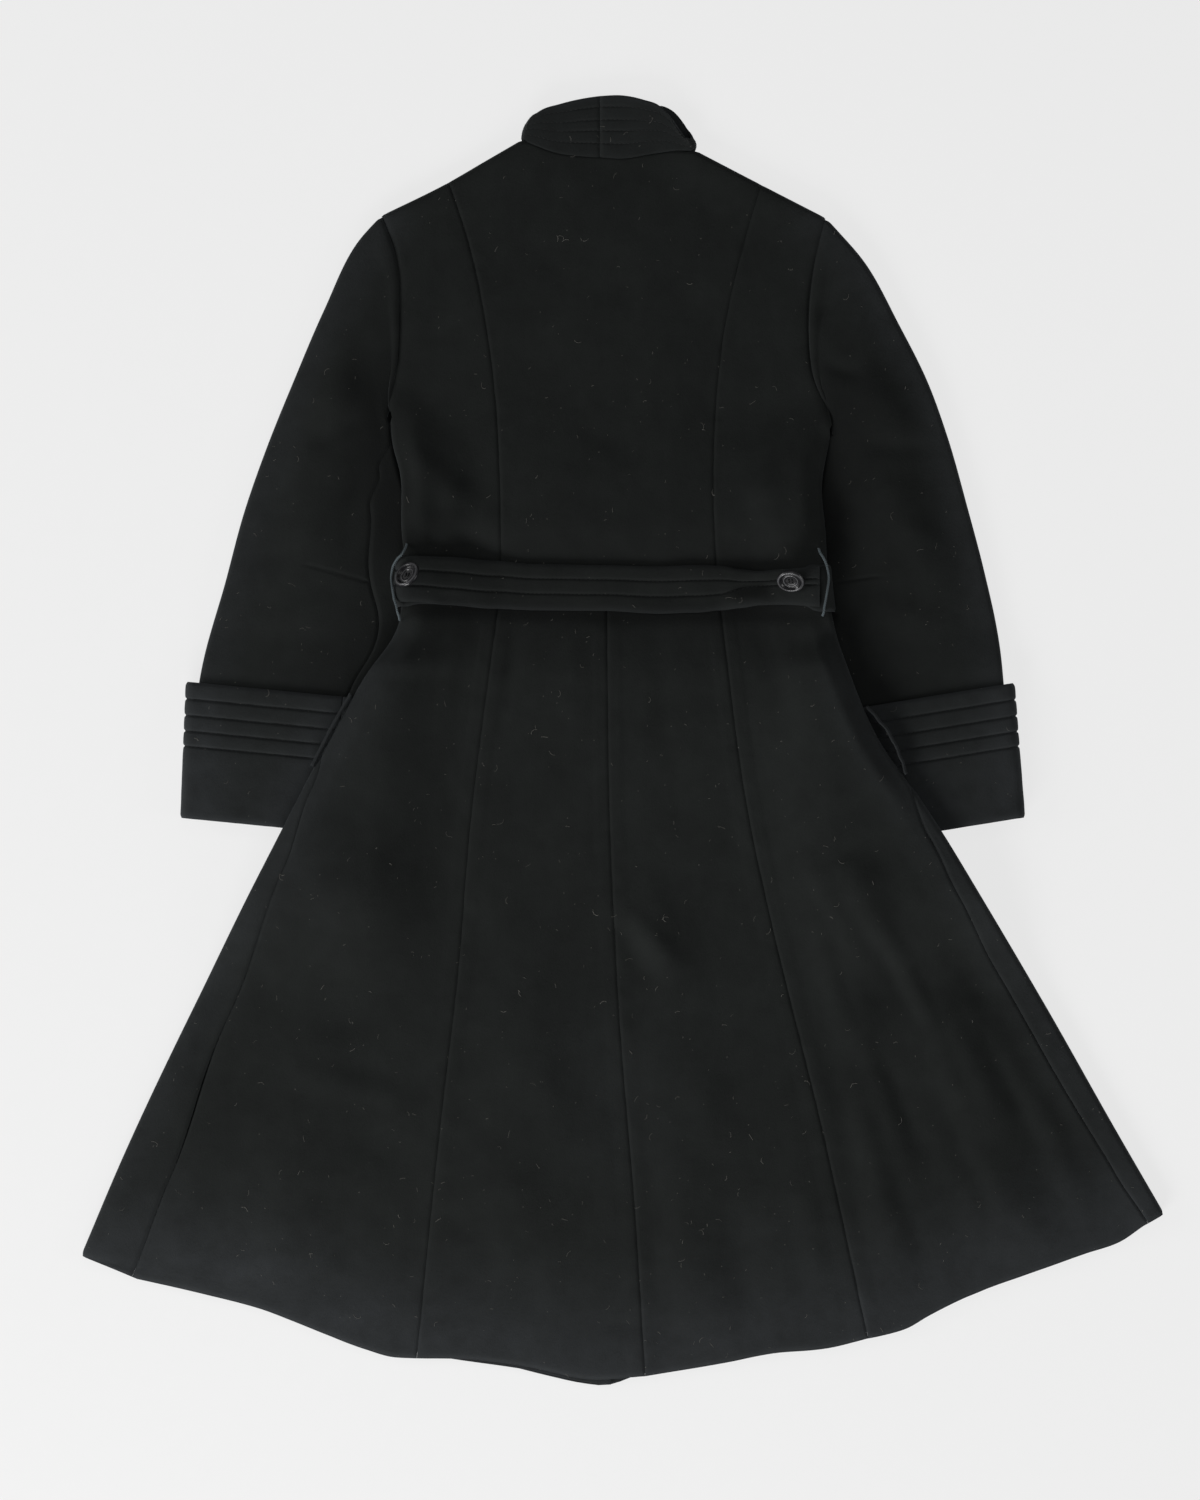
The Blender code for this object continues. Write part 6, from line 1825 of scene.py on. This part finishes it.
class OvercoatSizes(bpy.types.PropertyGroup):
    """Sizes of the cloth, the sewing and the trimmings."""

    cloth_thickness: length_setting("Cloth thickness", "Thickness of the plain wool", WALL)
    quilted_thickness: length_setting(
        "Quilted thickness", "Thickness of the cuffs and half belt between their stitches", QUILTED_WALL
    )
    grid_step: length_setting("Grid step", "Distance between the rows of the seen wool", 0.0045)
    unevenness: length_setting("Unevenness", "Height of the wool's soft random waves", 0.0009)
    stitch_length: length_setting("Stitch length", "Length of one stitch", 0.0030)
    stitch_gap: length_setting("Stitch gap", "Gap between two stitches", 0.0010)
    stitch_radius: length_setting("Stitch radius", "Half the thickness of the thread", 0.00032, 5)
    button_radius: length_setting("Button radius", "Radius of the belt's buttons", BUTTON_RADIUS)
    loop_radius: length_setting("Loop radius", "Half the thickness of the belt loops", LOOP_RADIUS)
    lint_count: bpy.props.IntProperty(
        name="Lint count", description="Number of stray fibres on the coat", default=700, min=0
    )


class OvercoatColours(bpy.types.PropertyGroup):
    """Colours of the coat and its backdrop."""

    wool: colour_setting("Wool", "Colour of the wool", 0.0087, 0.0101, 0.0095)
    # Colour of the worn edges and of the painted light on the wool
    wool_wear_and_light: colour_setting(
        "Faded wool", "Colour of the wool's faded and worn edges", 0.0225, 0.0248, 0.0268
    )
    sheen: strength_setting("Sheen", "Strength of the wool's soft shine", 0.045, 1.0)
    sheen_tint: colour_setting("Sheen tint", "Colour of the soft shine", 0.80, 0.92, 1.0)
    thread: colour_setting("Thread", "Colour of the thread", 0.010, 0.0105, 0.011)
    button: colour_setting("Button", "Colour of the buttons", 0.007, 0.007, 0.008)
    # Colour of the rings' tops: wear and a painted highlight
    button_wear_and_highlight: colour_setting("Worn button", "Colour of worn rings", 0.105, 0.105, 0.110)
    loop: colour_setting("Loop", "Colour of the belt loops", 0.064, 0.080, 0.087)
    lint: colour_setting("Lint", "Colour of the stray fibres", 0.16, 0.155, 0.14)
    floor: colour_setting("Floor", "Colour of the backdrop", 0.80, 0.80, 0.80)


class OvercoatStage(bpy.types.PropertyGroup):
    """Camera and light."""

    lens: bpy.props.FloatProperty(
        name="Lens", description="Focal length", default=85.0, min=20.0, max=300.0, unit="CAMERA"
    )
    sky: strength_setting("Sky", "Strength of the light from all sides", 0.13, 4.0)
    light: strength_setting("Light", "Strength of the soft lights", 1.0, 10.0)
    floor_glow: strength_setting("Floor glow", "Strength of the backdrop's own light", 0.93, 2.0)


class Overcoat(bpy.types.PropertyGroup):
    """Settings of the coat."""

    sizes: bpy.props.PointerProperty(type=OvercoatSizes)
    colours: bpy.props.PointerProperty(type=OvercoatColours)
    stage: bpy.props.PointerProperty(type=OvercoatStage)


# Operators
class OVERCOAT_OT_bodice(bpy.types.Operator):
    """Makes the bodice: centre back, side backs and fronts"""

    bl_idname = "overcoat.bodice"
    bl_label = "Bodice"

    def execute(self, context):
        coat = context.scene.overcoat
        bodice_centre_back(coat)
        for side in SIDES:
            bodice_side_back(coat, side)
            bodice_front(coat, side)
        return {"FINISHED"}


class OVERCOAT_OT_skirt(bpy.types.Operator):
    """Makes the skirt's back and front gores with the pocket edges"""

    bl_idname = "overcoat.skirt"
    bl_label = "Skirt"

    def execute(self, context):
        coat = context.scene.overcoat
        for side in SIDES:
            skirt_centre_back(coat, side)
            skirt_side_back(coat, side)
            skirt_front(coat, side)
        return {"FINISHED"}


class OVERCOAT_OT_sleeves(bpy.types.Operator):
    """Makes the sleeves"""

    bl_idname = "overcoat.sleeves"
    bl_label = "Sleeves"

    def execute(self, context):
        for side in SIDES:
            sleeve(context.scene.overcoat, side)
        return {"FINISHED"}


class OVERCOAT_OT_cuffs(bpy.types.Operator):
    """Makes the turned-back cuffs and their stitching"""

    bl_idname = "overcoat.cuffs"
    bl_label = "Cuffs"

    def execute(self, context):
        for side in SIDES:
            cuff(context.scene.overcoat, side)
        return {"FINISHED"}


class OVERCOAT_OT_collar(bpy.types.Operator):
    """Makes both halves of the stand collar and their stitching"""

    bl_idname = "overcoat.collar"
    bl_label = "Collar"

    def execute(self, context):
        for side in SIDES:
            collar(context.scene.overcoat, side)
        return {"FINISHED"}


class OVERCOAT_OT_belt(bpy.types.Operator):
    """Makes the half belt with its stitching, and the belt under the front"""

    bl_idname = "overcoat.belt"
    bl_label = "Belt"

    def execute(self, context):
        belt_front(context.scene.overcoat)
        belt_back(context.scene.overcoat)
        return {"FINISHED"}


class OVERCOAT_OT_buttons(bpy.types.Operator):
    """Makes the belt's buttons and their thread"""

    bl_idname = "overcoat.buttons"
    bl_label = "Buttons"

    def execute(self, context):
        for side in SIDES:
            button(context.scene.overcoat, side)
        return {"FINISHED"}


class OVERCOAT_OT_loops(bpy.types.Operator):
    """Makes the thread loops that hold the belt"""

    bl_idname = "overcoat.loops"
    bl_label = "Belt loops"

    def execute(self, context):
        for side in SIDES:
            belt_loop(context.scene.overcoat, side)
        return {"FINISHED"}


class OVERCOAT_OT_lint(bpy.types.Operator):
    """Lays stray fibres on the wool"""

    bl_idname = "overcoat.lint"
    bl_label = "Lint"

    def execute(self, context):
        lint(context.scene)
        return {"FINISHED"}


class OVERCOAT_OT_stage(bpy.types.Operator):
    """Sets up the backdrop, the soft lights and the camera above the coat"""

    bl_idname = "overcoat.stage"
    bl_label = "Stage"

    def execute(self, context):
        scene = context.scene
        settings = scene.overcoat.stage
        grid = bmesh.new()
        bmesh.ops.create_grid(grid, x_segments=2, y_segments=2, size=6.0)
        bmesh.ops.translate(grid, verts=grid.verts, vec=(0.0, 0.0, -0.0003))
        mesh = mesh_of(grid, "floor")
        mesh.materials.append(paper_floor(scene.overcoat.colours, settings.floor_glow))
        linked(mesh)

        for name, spot, aim, size, power in LIGHTS:
            data = bpy.data.lights.new(name, "AREA")
            data.shape = "RECTANGLE"
            data.size, data.size_y = size
            data.energy = power * settings.light
            light = linked(data)
            light.location = spot
            light.rotation_euler = (Vector(aim) - Vector(spot)).to_track_quat("-Z", "Y").to_euler()

        world = bpy.data.worlds.new("studio")
        world.use_nodes = True
        background = world.node_tree.nodes["Background"]
        background.inputs["Color"].default_value = (1.0, 1.0, 1.0, 1.0)
        background.inputs["Strength"].default_value = settings.sky
        scene.world = world

        data = bpy.data.cameras.new("camera")
        data.sensor_fit = "VERTICAL"
        data.sensor_height = 36.0
        data.lens = settings.lens
        data.clip_end = 50.0
        camera = linked(data)
        distance = VIEW_HEIGHT / 2 * settings.lens / (data.sensor_height / 2)
        camera.location = Vector(VIEW_MIDDLE) + Vector((0.0, 0.0, distance))
        scene.camera = camera
        scene.view_settings.view_transform = "Standard"
        scene.view_settings.look = "None"
        return {"FINISHED"}


class OVERCOAT_PT_panel(bpy.types.Panel):
    """Lists the coat's pieces and settings"""

    bl_label = "Belted overcoat"
    bl_idname = "OVERCOAT_PT_panel"
    bl_space_type = "VIEW_3D"
    bl_region_type = "UI"
    bl_category = "Overcoat"

    def draw(self, context):
        layout = self.layout
        for operator in OPERATORS:
            layout.operator(operator.bl_idname)
        overcoat = context.scene.overcoat
        for group in (overcoat.sizes, overcoat.colours, overcoat.stage):
            box = layout.box()
            for name in group.__annotations__:
                box.prop(group, name)


OPERATORS = (
    OVERCOAT_OT_bodice, OVERCOAT_OT_skirt, OVERCOAT_OT_sleeves, OVERCOAT_OT_cuffs, OVERCOAT_OT_collar,
    OVERCOAT_OT_belt, OVERCOAT_OT_buttons, OVERCOAT_OT_loops, OVERCOAT_OT_lint, OVERCOAT_OT_stage,
)
CLASSES = (OvercoatSizes, OvercoatColours, OvercoatStage, Overcoat) + OPERATORS + (OVERCOAT_PT_panel,)


def register():
    """Registers the settings, operators and panel."""
    for item in CLASSES:
        bpy.utils.register_class(item)
    bpy.types.Scene.overcoat = bpy.props.PointerProperty(type=Overcoat)


def unregister():
    """Takes the settings, operators and panel away."""
    del bpy.types.Scene.overcoat
    for item in reversed(CLASSES):
        bpy.utils.unregister_class(item)


def main():
    """Makes the coat and its stage."""
    register()
    bpy.ops.overcoat.bodice()
    bpy.ops.overcoat.skirt()
    bpy.ops.overcoat.sleeves()
    bpy.ops.overcoat.cuffs()
    bpy.ops.overcoat.collar()
    bpy.ops.overcoat.belt()
    bpy.ops.overcoat.buttons()
    bpy.ops.overcoat.loops()
    bpy.ops.overcoat.lint()
    bpy.ops.overcoat.stage()


if __name__ == "__main__":
    main()
